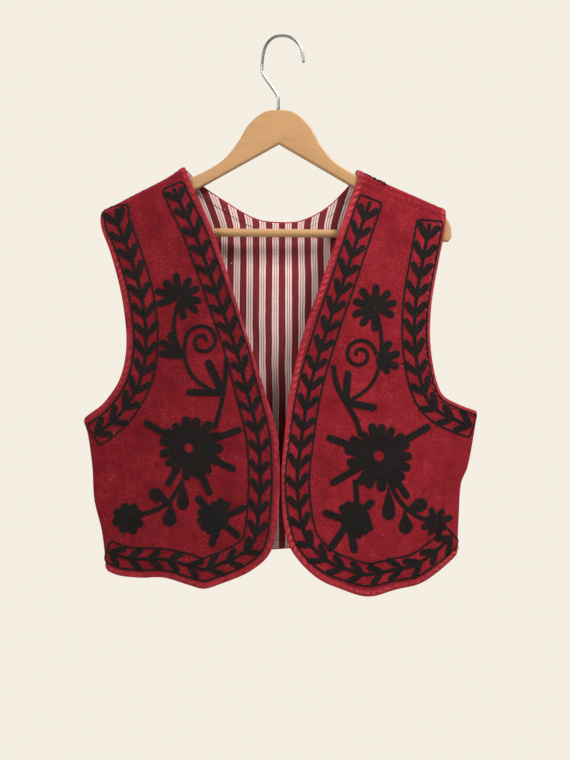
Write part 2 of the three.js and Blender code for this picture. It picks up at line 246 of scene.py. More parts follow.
class Face(Enum):
    """Which way a panel faces, as the sign of y."""

    FRONT = -1
    BACK = 1


@dataclass(frozen=True)
class SideCut:
    """The lines of the vest on one side of the wearer, one row where an edge changes its course."""

    sign: int
    neck_x: float
    tip_x: float
    crest: Rows
    seam_neck: float
    seam_tip: float
    edge: Rows
    corner: tuple[float, float]
    armhole: Rows
    armpit_z: float
    hem_z: float
    outline: Rows

    def crest_at(self, x: Array) -> Array:
        """Gives the height at which the cloth passes over the hanger's arm."""
        return Table(self.crest)(x)

    def outline_at(self, z: Array) -> Array:
        """Gives the place across of the side's outline."""
        return Table(self.outline)(z)

    def seam_at(self, x: Array) -> Array:
        """Gives how far round the shoulder's roll the shoulder seam lies."""
        share = (x - self.neck_x) / (self.tip_x - self.neck_x)
        return self.seam_neck + (self.seam_tip - self.seam_neck) * share


RIGHT = SideCut(
    sign=-1,
    neck_x=-127,
    tip_x=-231,
    crest=((-60, -128), (-127, -167.5), (-150, -182), (-190, -202.5), (-231, -224.5), (-270, -247)),
    seam_neck=18.5,
    seam_tip=18.5,
    edge=(
        (-112, -196), (-89, -246), (-58.5, -337), (-21.5, -454), (-6.5, -505), (-3, -546), (-4, -596),
        (-14.5, -656), (-38, -679), (-78.5, -697), (-99, -703), (-119, -698), (-150, -689.5),
        (-180, -690.5), (-210, -688),
    ),
    corner=(-14.5, -656),
    armhole=(
        (-230, -244), (-218.5, -276.5), (-203, -337.5), (-198, -398.5), (-207, -439), (-228.5, -469.5),
        (-243, -480.5),
    ),
    armpit_z=-490,
    hem_z=-681,
    outline=(
        (-726, -221), (-673, -226), (-632, -231), (-592, -240.5), (-551, -243), (-510, -248.5),
        (-490, -253.5), (-406, -260), (-156, -260),
    ),
)
LEFT = SideCut(
    sign=1,
    neck_x=98,
    tip_x=209,
    crest=((40, -140), (98, -171), (135, -188.5), (175, -206), (209, -221.5), (270, -251)),
    seam_neck=0.5,
    seam_tip=6.5,
    edge=(
        (92.5, -195), (76, -240), (52.5, -307.5), (26.5, -382), (10, -450.5), (2.5, -515), (-0.5, -551),
        (-0.5, -591), (3, -624), (12, -654), (43, -688), (74, -703), (109, -713), (145, -704.5),
        (175, -698), (196, -685.5), (214, -671),
    ),
    corner=(12, -654),
    armhole=(
        (207.5, -246), (199.5, -287), (189.5, -347.5), (189, -398.5), (198, -445), (206, -459.5),
        (226, -470.5),
    ),
    armpit_z=-480,
    hem_z=-659,
    outline=(
        (-726, 222.5), (-659, 224.5), (-612, 226.5), (-571, 229.5), (-551, 237.5), (-510, 245.5),
        (-480, 249.5), (-406, 254), (-156, 254),
    ),
)
BACK_NECK: Rows = (
    (-115, -177), (-101, -189.5), (-77, -205.5), (-31, -230.5), (0, -234), (23, -232.5), (55, -217.5),
    (78, -197), (92, -179),
)
BACK_HEM: Rows = ((-150, -674), (-60, -663), (0, -658.5), (60, -656), (150, -659))


@dataclass(frozen=True)
class Fold:
    """A soft ridge, or a trough where its rise is negative, in hanging cloth."""

    x: float
    z: float
    lean: float
    length: float
    width: float
    rise: float

    def height(self, x: Array, z: Array) -> Array:
        """Gives how far it pushes the cloth out at places.

        Args:
            x: Places across.
            z: Heights.

        Returns:
            Its height at each place, in millimetres.
        """
        lean = math.radians(self.lean)
        along = (x - self.x) * math.sin(lean) + (z - self.z) * math.cos(lean)
        across = (x - self.x) * math.cos(lean) - (z - self.z) * math.sin(lean)
        return self.rise * np.exp(-((along / self.length) ** 2) - (across / self.width) ** 2)


# The large folds first, then the smaller creases between them.
FRONT_FOLDS = (
    Fold(-240, -526, -8, 45, 16, 2.5), Fold(-212, -556, 45, 45, 22, -3.5), Fold(-150, -616, -6, 90, 36, 3),
    Fold(-155, -306, 14, 80, 26, -3), Fold(212, -596, 28, 50, 18, 4), Fold(150, -626, 10, 80, 40, 3),
    Fold(130, -276, -12, 80, 26, -3),
)
FRONT_CREASES = (
    Fold(-214, -557, 52, 24, 6, -1.9), Fold(-226, -536, -6, 22, 5, 1.3), Fold(-205, -592, 30, 26, 8, 0.9),
    Fold(-178, -562, 62, 30, 7, -0.8), Fold(-176, -470, 40, 34, 9, 0.8), Fold(-175, -405, 8, 46, 9, -0.9),
    Fold(-160, -262, 28, 30, 10, 0.8), Fold(-185, -240, 60, 24, 8, -0.9), Fold(-70, -520, -12, 60, 11, 0.9),
    Fold(-52, -590, 4, 36, 9, -0.7), Fold(-125, -668, 78, 34, 8, 0.8), Fold(-95, -430, 20, 36, 10, 0.6),
    Fold(205, -572, 26, 34, 6, -2.4), Fold(219, -560, 20, 26, 7, 1.6), Fold(196, -640, 12, 22, 6, -1.4),
    Fold(207, -648, 8, 20, 6, 1.1), Fold(176, -545, 54, 34, 9, -0.9), Fold(165, -430, -28, 36, 10, 0.9),
    Fold(176, -350, -6, 40, 9, -0.9), Fold(160, -250, -40, 28, 9, 0.9), Fold(120, -232, 70, 26, 8, -0.8),
    Fold(60, -530, 10, 56, 11, 0.9), Fold(46, -610, -8, 34, 9, -0.7), Fold(120, -668, 96, 40, 8, 0.8),
    Fold(118, -470, 82, 40, 9, 0.6),
)
BACK_FOLDS = (
    Fold(-130, -526, 12, 150, 34, 4), Fold(-40, -566, -5, 120, 30, -3.5), Fold(60, -526, 4, 150, 34, 3.5),
    Fold(160, -566, -14, 110, 30, -3), Fold(10, -336, 0, 70, 60, -3),
)
BACK_CREASES = (
    Fold(-196, -520, 40, 40, 8, -1.4), Fold(-210, -580, 20, 34, 7, 1.2), Fold(-160, -400, 18, 60, 10, 1.0),
    Fold(-95, -470, 8, 60, 9, -1.0), Fold(-70, -620, -6, 40, 8, 1.0), Fold(-20, -430, -4, 70, 11, 0.9),
    Fold(20, -600, 6, 46, 9, -1.0), Fold(72, -420, 6, 60, 9, 1.0), Fold(120, -480, -16, 50, 8, -1.1),
    Fold(185, -530, -34, 40, 8, 1.3), Fold(206, -600, -18, 30, 7, -1.2), Fold(150, -330, -20, 50, 10, 0.9),
    Fold(-150, -300, 24, 50, 10, -0.9), Fold(0, -290, 88, 50, 8, 0.8), Fold(-6, -348, 90, 22, 3, 0.5),
)


@dataclass(frozen=True)
class Drape:
    """How the flat cut hangs: over the arms, down with a shallow belly and round at the sides."""

    shoulder_roll: float = 10.5
    side_roll: float = 4.5
    front_belly: float = 18.0
    back_belly: float = 15.0
    settle: float = 120.0
    side_hold: float = 30.0
    gap: float = 0.06

    @property
    def quarter(self) -> float:
        """The cloth used by the quarter turn at a side seam."""
        return self.side_roll * math.pi / 2

    def flat_side_at(self, side: SideCut, z: Array) -> Array:
        """Gives the flat cut's side edge, outside the outline by what the turn takes up."""
        return side.outline_at(z) + side.sign * (self.quarter - self.side_roll)

    def shoulder_z(self, side: SideCut, face: Face, x: Array) -> Array:
        """Gives the flat height of the shoulder seam on the front or back panel.

        Args:
            side: The wearer's side.
            face: Whether the panel is a front or the back.
            x: Places across.

        Returns:
            The flat height of the seam at each place.
        """
        over = self.shoulder_roll * math.pi
        along = side.seam_at(x) if face is Face.FRONT else over - side.seam_at(x)
        return side.crest_at(x) - self.shoulder_roll + along - self.gap / 2

    def surface(self, face: Face, flat: Array) -> Array:
        """Hangs flat points on the velvet's outer face.

        Args:
            face: Whether they are on a front or on the back.
            flat: Points of the cut, in millimetres.

        Returns:
            Their places in space, in millimetres.
        """
        x, z = flat[..., 0], flat[..., 1]
        is_right = x < (RIGHT.neck_x + LEFT.neck_x) / 2
        low, high = RIGHT.outline_at(z), LEFT.outline_at(z)
        sign = np.where(is_right, -1.0, 1.0)
        crest = np.where(is_right, RIGHT.crest_at(x), LEFT.crest_at(x))
        flat_side = np.where(is_right, self.flat_side_at(RIGHT, z), self.flat_side_at(LEFT, z))
        start = crest - self.shoulder_roll
        past = z - start

        inwards = sign * (flat_side - x)
        angle = np.clip(inwards, -self.quarter, self.quarter) / self.side_roll
        away = self.side_roll * (1 - np.cos(angle)) + np.maximum(inwards - self.quarter, 0)
        across = np.where(is_right, low, high) - sign * away
        middle = (2 * across - low - high) / (high - low)
        belly = self.front_belly if face is Face.FRONT else self.back_belly
        settled = smoothstep(-past, 0, self.settle)
        free = smoothstep(away, 0, self.side_hold) * settled
        depth = self.side_roll * np.sin(angle) + belly * (1 - middle * middle)
        depth = self.shoulder_roll + (depth - self.shoulder_roll) * settled
        depth += folds_at(face, across, z) * free

        turn = np.clip(past, 0, None) / self.shoulder_roll
        rolled = self.shoulder_roll * np.cos(turn)
        raised = start + self.shoulder_roll * np.sin(turn)
        over = past > 0
        return np.stack([
            np.where(over, x, across),
            face.value * (np.where(over, rolled, depth) + self.gap / 2),
            np.where(over, raised, z),
        ], -1)

    def outward(self, face: Face, flat: Array) -> Array:
        """Gives the unit direction out of the velvet's face at flat points.

        Args:
            face: Whether the points are on a front or on the back.
            flat: Points of the cut.

        Returns:
            One unit direction for each point.
        """
        step = 0.05
        right = self.surface(face, flat + [step, 0]) - self.surface(face, flat - [step, 0])
        up = self.surface(face, flat + [0, step]) - self.surface(face, flat - [0, step])
        out = np.cross(right, up) * -face.value
        return out / (np.linalg.norm(out, axis=-1, keepdims=True) + TINY)

    def lay(self, face: Face, flat: Array, lift: Array | float) -> Array:
        """Hangs flat points at a height over the velvet's face, or below it where it is negative."""
        height = np.broadcast_to(np.asarray(lift, float), flat.shape[:-1])
        return self.surface(face, flat) + self.outward(face, flat) * height[..., None]


def folds_at(face: Face, x: Array, z: Array) -> Array:
    """Gives how far the folds and creases push the cloth out.

    Args:
        face: Whether the places are on a front or on the back.
        x: Places across.
        z: Heights.

    Returns:
        The sum of the folds and creases at each place, in millimetres.
    """
    folds, creases = (FRONT_FOLDS, FRONT_CREASES) if face is Face.FRONT else (BACK_FOLDS, BACK_CREASES)
    large = sum(fold.height(x, z) for fold in folds)
    return large + CREASE_DEPTH * sum(crease.height(x, z) for crease in creases)


DRAPE = Drape()
CREASE_DEPTH = 1.7
ARMPIT = 0.42
SHOULDER_SHARE = 0.34


@dataclass
class Panel:
    """One flat piece of the cut between its four edges, with the lines that are sewn along."""

    name: str
    face: Face
    first: Edge
    last: Edge
    hem: Edge
    top: Edge
    hems: list[Line] = field(default_factory=list)
    strip: float = 9.0
    pucker_pitch: float = 9.0
    gather: float = 1.0
    shoulder_gather: float = 0.2
    groove_depth: float = 0.35
    edge_drop: float = 0.55
    seam_drop: float = 0.7

    def from_shoulder(self, flat: Array) -> Array:
        """Gives how far flat points lie below the shoulder seams, along the cloth.

        Args:
            flat: Points of the cut.

        Returns:
            The distance of each point, large where there is no shoulder above it.
        """
        x, z = flat[..., 0], flat[..., 1]
        right = DRAPE.shoulder_z(RIGHT, self.face, x)
        left = DRAPE.shoulder_z(LEFT, self.face, x)
        seam = np.where(x < (RIGHT.neck_x + LEFT.neck_x) / 2, right, left)
        on = (x < RIGHT.neck_x + 4) | (x > LEFT.neck_x - 4)
        return np.where(on, np.abs(seam - z) * 0.88, 99.0)

    def flat(self, u: Array, v: Array) -> Array:
        """Gives flat points at shares across, u, and up, v, between the four edges.

        Args:
            u: Shares across, 0 to 1.
            v: Shares up, 0 to 1.

        Returns:
            The points of the cut.
        """
        u, v = np.broadcast_arrays(np.asarray(u, float), np.asarray(v, float))
        s, t = u[..., None], v[..., None]
        corners = [edge(np.array(end)) for edge in (self.hem, self.top) for end in (0.0, 1.0)]
        sides = (1 - s) * self.first(v) + s * self.last(v)
        ends = (1 - t) * self.hem(u) + t * self.top(u)
        low = (1 - s) * corners[0] + s * corners[1]
        high = (1 - s) * corners[2] + s * corners[3]
        return sides + ends - (1 - t) * low - t * high

    @property
    def centre(self) -> Array:
        """The middle of the panel."""
        return self.flat(np.array(0.5), np.array(0.45))

    def from_hem(self, flat: Array) -> tuple[Array, Array]:
        """Measures flat points against the turned edges.

        Args:
            flat: Points of the cut.

        Returns:
            How far each lies from the nearest turned edge, and how far along the edges that is.
        """
        points, runs, done = [], [], 0.0
        for line in self.hems:
            share = np.linspace(0, 1, int(line.length / 1.2))
            points.append(line.at(share))
            runs.append(done + share * line.length)
            done += line.length
        edge, run = np.vstack(points), np.concatenate(runs)
        shape = flat.shape[:-1]
        asked = flat.reshape(-1, 2)
        away, along = np.empty(len(asked)), np.empty(len(asked))
        block = 4000
        for start in range(0, len(asked), block):
            some = asked[start : start + block]
            gaps = (some[:, None, 0] - edge[:, 0]) ** 2 + (some[:, None, 1] - edge[:, 1]) ** 2
            nearest = gaps.argmin(1)
            away[start : start + block] = np.sqrt(gaps[np.arange(len(some)), nearest])
            along[start : start + block] = run[nearest]
        return away.reshape(shape), along.reshape(shape)

    def relief(self, flat: Array) -> Array:
        """Gives the small relief of the turned, topstitched edge and of the shoulder seam.

        Args:
            flat: Points of the cut.

        Returns:
            How far the outer face stands out at each, in millimetres.
        """
        away, along = self.from_hem(flat)
        roll = np.sin(np.pi * np.clip(away / self.strip, 0, 1))
        wander = along + 3.1 * np.sin(along / 23) + 1.9 * np.sin(along / 9.7)
        pucker = 0.5 + 0.5 * np.sin(2 * np.pi * (wander + 0.9 * away) / self.pucker_pitch)
        uneven = 0.45 + 0.55 * np.sin(along / 37 + 0.8) ** 2
        groove = self.groove_depth * bell(away, self.strip, 1.3)
        turned = self.edge_drop * bell(away, 0.0, 1.1)
        beyond = 0.5 * pucker * uneven * bell(away, self.strip + 4, 3.0)
        edge = roll * (0.3 + self.gather * pucker * uneven) + beyond - groove - turned
        return edge + self.shoulder_relief(flat)

    def shoulder_relief(self, flat: Array) -> Array:
        """Gives the relief beside a shoulder seam: a drop at it, and gathers below.

        Args:
            flat: Points of the cut.

        Returns:
            How far the outer face stands out at each, in millimetres.
        """
        x, sewn = flat[..., 0], self.from_shoulder(flat)
        ripple = np.sin(x / 1.35 + 1.4 * np.sin(x / 6.1) + sewn / 5) * (0.6 + 0.4 * np.sin(x / 11))
        seam = self.shoulder_gather * bell(sewn, 5, 4.5) * ripple
        return seam - self.seam_drop * bell(sewn, 0.0, 1.3) - 0.5 * self.shoulder_gather * bell(sewn, 9, 2)


class Cutter:
    """Cuts the three panels that the velvet and its lining share."""

    def shoulder(self, side: SideCut, face: Face) -> Edge:
        """Gives the shoulder seam from the neck point to the tip.

        Args:
            side: The wearer's side.
            face: Whether the panel is a front or the back.

        Returns:
            The seam, asked for points by share.
        """
        def edge(along: Array) -> Array:
            """Gives points at shares of the way from the neck to the tip."""
            x = side.neck_x + (side.tip_x - side.neck_x) * np.asarray(along, float)
            return np.stack([x, DRAPE.shoulder_z(side, face, x)], -1)
        return edge

    def armhole(self, side: SideCut, face: Face) -> Line:
        """Gives the armhole from the shoulder tip down to the armpit.

        Args:
            side: The wearer's side.
            face: Whether the panel is a front or the back.

        Returns:
            The armhole's line.
        """
        tip = self.shoulder(side, face)(np.array(1.0))
        armpit = (float(DRAPE.flat_side_at(side, np.array(side.armpit_z))), side.armpit_z)
        return Line.through([tuple(tip), *side.armhole, armpit])

    def outer(self, side: SideCut, face: Face) -> Edge:
        """Gives a panel's outer edge: up the side seam, then up the armhole to the tip.

        Args:
            side: The wearer's side.
            face: Whether the panel is a front or the back.

        Returns:
            The edge, asked for points by share.
        """
        armhole = self.armhole(side, face)

        def edge(up: Array) -> Array:
            """Gives points of the edge.

            Args:
                up: Shares of the way up.

            Returns:
                One flat point for each share.
            """
            up = np.asarray(up, float)
            z = side.hem_z + (side.armpit_z - side.hem_z) * up / ARMPIT
            seam = np.stack([DRAPE.flat_side_at(side, z), z], -1)
            above = armhole.at(1 - (up - ARMPIT) / (1 - ARMPIT))
            return np.where((up > ARMPIT)[..., None], above, seam)
        return edge

    def foot(self, side: SideCut) -> tuple[float, float]:
        """Gives the lower end of a side seam."""
        return float(DRAPE.flat_side_at(side, np.array(side.hem_z))), side.hem_z

    def front(self, name: str, side: SideCut) -> Panel:
        """Cuts one front.

        Args:
            name: The CAD node of the same piece.
            side: The lines of its side.

        Returns:
            The panel, with its front edge and armhole as turned edges.
        """
        neck = tuple(self.shoulder(side, Face.FRONT)(np.array(0.0)))
        edge = Line.through([neck, *side.edge, self.foot(side)])
        corner = edge.nearest(side.corner)
        return Panel(
            name=name,
            face=Face.FRONT,
            first=lambda up: edge.at(corner * (1 - np.asarray(up))),
            last=self.outer(side, Face.FRONT),
            hem=lambda out: edge.at(corner + (1 - corner) * np.asarray(out)),
            top=self.shoulder(side, Face.FRONT),
            hems=[edge, self.armhole(side, Face.FRONT)],
            gather=0.85 if side is RIGHT else 1.35,
            shoulder_gather=0.2 if side is RIGHT else 0.9,
        )

    def back(self, name: str) -> Panel:
        """Cuts the back, from the wearer's right side to the left.

        Args:
            name: The CAD node of the same piece.

        Returns:
            The panel, with its neck, hem and armholes as turned edges.
        """
        right, left = (self.shoulder(side, Face.BACK) for side in (RIGHT, LEFT))
        ends = tuple(right(np.array(0.0))), tuple(left(np.array(0.0)))
        neck = Line.through([ends[0], *BACK_NECK, ends[1]])
        hem = Line.through([self.foot(RIGHT), *BACK_HEM, self.foot(LEFT)])

        def top(across: Array) -> Array:
            """Gives points along the right shoulder, the neck and the left shoulder.

            Args:
                across: Shares of the way across.

            Returns:
                One flat point for each share.
            """
            u = np.asarray(across, float)
            middle = neck.at((u - SHOULDER_SHARE) / (1 - 2 * SHOULDER_SHARE))
            rightward = right(1 - u / SHOULDER_SHARE)
            leftward = left((u - 1 + SHOULDER_SHARE) / SHOULDER_SHARE)
            high = np.where((u >= 1 - SHOULDER_SHARE)[..., None], leftward, middle)
            return np.where((u <= SHOULDER_SHARE)[..., None], rightward, high)

        armholes = [self.armhole(side, Face.BACK) for side in (RIGHT, LEFT)]
        return Panel(
            name=name,
            face=Face.BACK,
            first=self.outer(RIGHT, Face.BACK),
            last=self.outer(LEFT, Face.BACK),
            hem=hem.at,
            top=top,
            hems=[neck, hem, *armholes],
        )


# ---------------------------------------------------------------- meshes


class MeshWork:
    """Makes Blender meshes from arrays, riding on the vest's body."""

    @staticmethod
    def make(name: str, points: Array, faces: Iterable[Sequence[int]], slot: str) -> Piece:
        """Makes a smooth-shaded object that rides on the vest's body.

        Args:
            name: The piece's name.
            points: Its vertices, in millimetres.
            faces: The vertices round each face.
            slot: The record's material slot; not used.

        Returns:
            The new object.
        """
        mesh = bpy.data.meshes.new(name)
        mesh.from_pydata((points * MM).tolist(), [], faces if isinstance(faces, list) else list(faces))
        mesh.polygons.foreach_set("use_smooth", np.ones(len(mesh.polygons), bool))
        mesh.update()
        piece = bpy.data.objects.new(name, mesh)
        bpy.context.scene.collection.objects.link(piece)
        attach(piece, BODY)
        return piece

    @staticmethod
    def note(piece: Piece, name: str, values: Array) -> None:
        """Stores one number, or one vector, at each vertex, for a finish to read.

        Args:
            piece: The piece.
            name: The attribute's name.
            values: A number or a row of three for each vertex.
        """
        kind = "FLOAT" if values.ndim == 1 else "FLOAT_VECTOR"
        attribute = piece.data.attributes.new(name, kind, "POINT")
        key = "value" if values.ndim == 1 else "vector"
        attribute.data.foreach_set(key, np.ascontiguousarray(values, np.float32).ravel())

    @staticmethod
    def wall_faces(rows: int, columns: int) -> Array:
        """Gives the quads of a closed wall whose two faces are grids of the same size.

        Args:
            rows: Points up each grid.
            columns: Points across each grid.

        Returns:
            Four vertex numbers for each quad, the outer grid's first.
        """
        near = np.arange(rows * columns).reshape(rows, columns)
        far = near + rows * columns

        def quads(a: Array, b: Array, c: Array, d: Array) -> Array:
            """Joins four grids of corners into rows of four."""
            return np.stack([a, b, c, d], -1).reshape(-1, 4)

        return np.vstack([
            quads(near[:-1, :-1], near[:-1, 1:], near[1:, 1:], near[1:, :-1]),
            quads(far[:-1, :-1], far[1:, :-1], far[1:, 1:], far[:-1, 1:]),
            quads(far[0, :-1], far[0, 1:], near[0, 1:], near[0, :-1]),
            quads(near[-1, :-1], near[-1, 1:], far[-1, 1:], far[-1, :-1]),
            quads(near[:-1, 0], near[1:, 0], far[1:, 0], far[:-1, 0]),
            quads(far[:-1, -1], far[1:, -1], near[1:, -1], near[:-1, -1]),
        ])

    @staticmethod
    def facing_out(points: Array, faces: Array) -> Array:
        """Turns quads round if they enclose their volume inside out.

        Args:
            points: The vertices.
            faces: Four vertex numbers for each quad.

        Returns:
            The quads, all facing out.
        """
        a, b, c, d = (points[faces[:, k]] for k in range(4))
        volume = np.einsum("ij,ij->", a, np.cross(b, c)) + np.einsum("ij,ij->", a, np.cross(c, d))
        return faces if volume > 0 else faces[:, ::-1]


# ---------------------------------------------------------------- finishes


class Shader:
    """A material's node tree, with short ways to add and join its nodes."""

    def __init__(self, name: str) -> None:
        """Starts an empty tree with one Principled shader on its output.

        Args:
            name: The material's name.
        """
        self.material = bpy.data.materials.new(name)
        self.material.use_nodes = True
        self.tree = self.material.node_tree
        self.tree.nodes.clear()
        output = self.tree.nodes.new("ShaderNodeOutputMaterial")
        self.surface = self.tree.nodes.new("ShaderNodeBsdfPrincipled")
        self.tree.links.new(self.surface.outputs[0], output.inputs[0])

    def add(self, kind: str, **settings: object) -> bpy.types.Node:
        """Adds a node and sets its own properties.

        Args:
            kind: The node's type, without its common beginning.
            **settings: Properties to set on it.

        Returns:
            The node.
        """
        node = self.tree.nodes.new("ShaderNode" + kind)
        for key, value in settings.items():
            setattr(node, key, value)
        return node

    def join(self, source: Socket, target: Socket) -> None:
        """Links one socket to another."""
        self.tree.links.new(source, target)

    def constants(self, **values: object) -> None:
        """Sets the shader's own sockets, named with underscores for spaces."""
        for key, value in values.items():
            self.surface.inputs[key.replace("_", " ")].default_value = value

    def place(self) -> Socket:
        """Gives each point's own place on the piece."""
        return self.add("TexCoord").outputs["Object"]

    def attribute(self, name: str) -> bpy.types.Node:
        """Reads what a piece stores at its vertices."""
        return self.add("Attribute", attribute_name=name)

    def stretched(self, source: Socket, scale: Colour) -> Socket:
        """Scales a place by three numbers, so that a pattern runs one way.

        Args:
            source: Where each point lies.
            scale: How far each of its numbers is scaled.

        Returns:
            The scaled place.
        """
        mapping = self.add("Mapping")
        self.join(source, mapping.inputs["Vector"])
        mapping.inputs["Scale"].default_value = scale
        return mapping.outputs[0]

    def noise(self, source: Socket, scale: float, detail: float = 2.0,
              rough: float = 0.5) -> Socket:
        """Adds cloudy noise.

        Args:
            source: Where each point lies.
            scale: Clouds to the metre.
            detail: How many finer layers it has.
            rough: How strong the finer layers are.

        Returns:
            A number from 0 to 1.
        """
        node = self.add("TexNoise")
        self.join(source, node.inputs["Vector"])
        node.inputs["Scale"].default_value = scale
        node.inputs["Detail"].default_value = detail
        node.inputs["Roughness"].default_value = rough
        return node.outputs["Fac"]

    def span(self, source: Socket, low: float, high: float, start: float = 0.0,
             end: float = 1.0) -> Socket:
        """Carries a number from low..high to start..end, held at both ends.

        Args:
            source: The number.
            low: Where it starts.
            high: Where it ends.
            start: What the low end becomes.
            end: What the high end becomes.

        Returns:
            The carried number.
        """
        node = self.add("MapRange")
        self.join(source, node.inputs["Value"])
        for key, value in (("From Min", low), ("From Max", high), ("To Min", start), ("To Max", end)):
            node.inputs[key].default_value = value
        return node.outputs[0]

    def maths(self, operation: str, first: Socket,
              second: Socket | float = 0.0) -> Socket:
        """Works out one sum from a socket and a socket or number.

        Args:
            operation: The sum's name.
            first: Its first number.
            second: Its second number.

        Returns:
            The result.
        """
        node = self.add("Math", operation=operation)
        self.join(first, node.inputs[0])
        if isinstance(second, (int, float)):
            node.inputs[1].default_value = second
        else:
            self.join(second, node.inputs[1])
        return node.outputs[0]

    def mix(self, share: Socket, first: Socket | Colour,
            second: Socket | Colour) -> Socket:
        """Blends two colours, each a socket or a colour, by a share from 0 to 1.

        Args:
            share: The second colour's share.
            first: The first colour.
            second: The second colour.

        Returns:
            The blended colour.
        """
        node = self.add("Mix", data_type="RGBA")
        self.join(share, node.inputs["Factor"])
        for value, socket in ((first, node.inputs[6]), (second, node.inputs[7])):
            if isinstance(value, tuple):
                socket.default_value = (*value, 1.0)
            else:
                self.join(value, socket)
        return node.outputs[2]

    def specks(self, source: Socket, scale: float, size: float) -> Socket:
        """Scatters small round specks of lint, as 1 on a speck and 0 off it.

        Args:
            source: Where each point lies.
            scale: How many specks there may be to the metre.
            size: A speck's radius, as a share of the distance between them.

        Returns:
            1 on a speck and 0 off it.
        """
        node = self.add("TexVoronoi", feature="F1")
        self.join(source, node.inputs["Vector"])
        node.inputs["Scale"].default_value = scale
        near = self.maths("LESS_THAN", node.outputs["Distance"], size)
        some = self.maths("GREATER_THAN", self.noise(source, 23.0, 0.0), 0.47)
        return self.maths("MULTIPLY", near, some)

    def bump(self, height: Socket, distance: float, strength: float = 1.0) -> None:
        """Raises fine relief on the surface, its height in metres.

        Args:
            height: The relief.
            distance: How high it is, in metres.
            strength: How strongly it shows.
        """
        node = self.add("Bump")
        node.inputs["Strength"].default_value = strength
        node.inputs["Distance"].default_value = distance
        self.join(height, node.inputs["Height"])
        self.join(node.outputs[0], self.surface.inputs["Normal"])

    def colour(self, source: Socket) -> None:
        """Sets the surface's colour."""
        self.join(source, self.surface.inputs["Base Color"])


@dataclass(frozen=True)
class VelvetFinish:
    """Crimson cotton velvet: crushed pile in soft clouds, worn paler on its turned edges, with painted
    highlights on its pucker ridges and in small flecks.
    """

    name: str
    deep: Colour = (0.145, 0.005, 0.0105)
    bright: Colour = (0.335, 0.0165, 0.031)
    # This lighter colour serves both real wear on the turned edges and painted highlights on the ridges and
    # flecks.
    worn_and_highlight: Colour = (0.72, 0.085, 0.11)
    lint: Colour = (0.62, 0.42, 0.42)

    def material(self) -> Material:
        """Makes the material, whose sheen is that of upright pile.

        Returns:
            The material.
        """
        shader = Shader(self.name)
        place = shader.place()
        clouds = shader.span(shader.noise(place, 30.0, 9.0, 0.78), 0.33, 0.67)
        streaks = shader.noise(shader.stretched(place, (1.0, 1.0, 0.3)), 95.0, 3.0, 0.6)
        pile = shader.noise(place, 1400.0, 2.0, 0.7)
        shade = shader.mix(clouds, self.deep, self.bright)
        streaked = shader.mix(shader.span(streaks, 0.3, 0.75, 0.0, 0.45), shade, self.deep)
        napped = shader.mix(shader.span(pile, 0.35, 0.75, 0.0, 0.35), streaked, self.bright)
        edge = shader.attribute("from_hem").outputs["Fac"]
        on_edge = shader.span(edge, 0.0, 9.5, 0.55, 0.0)
        turned = shader.maths("MULTIPLY", on_edge, shader.span(streaks, 0.3, 0.7))
        # Painted highlight: the pucker ridges are lightened by their stored height, where raking light would
        # catch them.
        ridge = shader.span(shader.attribute("ridge").outputs["Fac"], 0.35, 1.5, 0.0, 0.7)
        # Painted highlight: sparse lighter flecks in soft clouds stand in for sheen on crushed pile.
        flecks = shader.span(shader.noise(place, 380.0, 4.0, 0.7), 0.5, 0.72, 0.0, 0.36)
        painted_highlight_flecks = shader.maths("MULTIPLY", flecks, shader.span(shader.noise(place, 34.0, 2.0), 0.38, 0.66))
        # Real edge wear and the painted highlights together decide where the lighter colour goes.
        wear_and_highlight_mask = shader.maths("MAXIMUM", shader.maths("MAXIMUM", turned, ridge), painted_highlight_flecks)
        worn_and_highlit = shader.mix(wear_and_highlight_mask, napped, self.worn_and_highlight)
        lint = shader.specks(place, 85.0, 0.036)
        shader.colour(shader.mix(lint, worn_and_highlit, self.lint))
        shader.join(shader.span(clouds, 0.0, 1.0, 0.92, 0.74), shader.surface.inputs["Roughness"])
        crush = shader.noise(place, 260.0, 3.0, 0.6)
        shader.bump(shader.maths("ADD", pile, shader.maths("MULTIPLY", crush, 2.0)), 0.0009, 0.85)
        shader.constants(Sheen_Weight=0.3, Sheen_Roughness=0.4, Sheen_Tint=(1.0, 0.17, 0.2, 1.0))
        shader.constants(Specular_IOR_Level=0.1)
        return shader.material


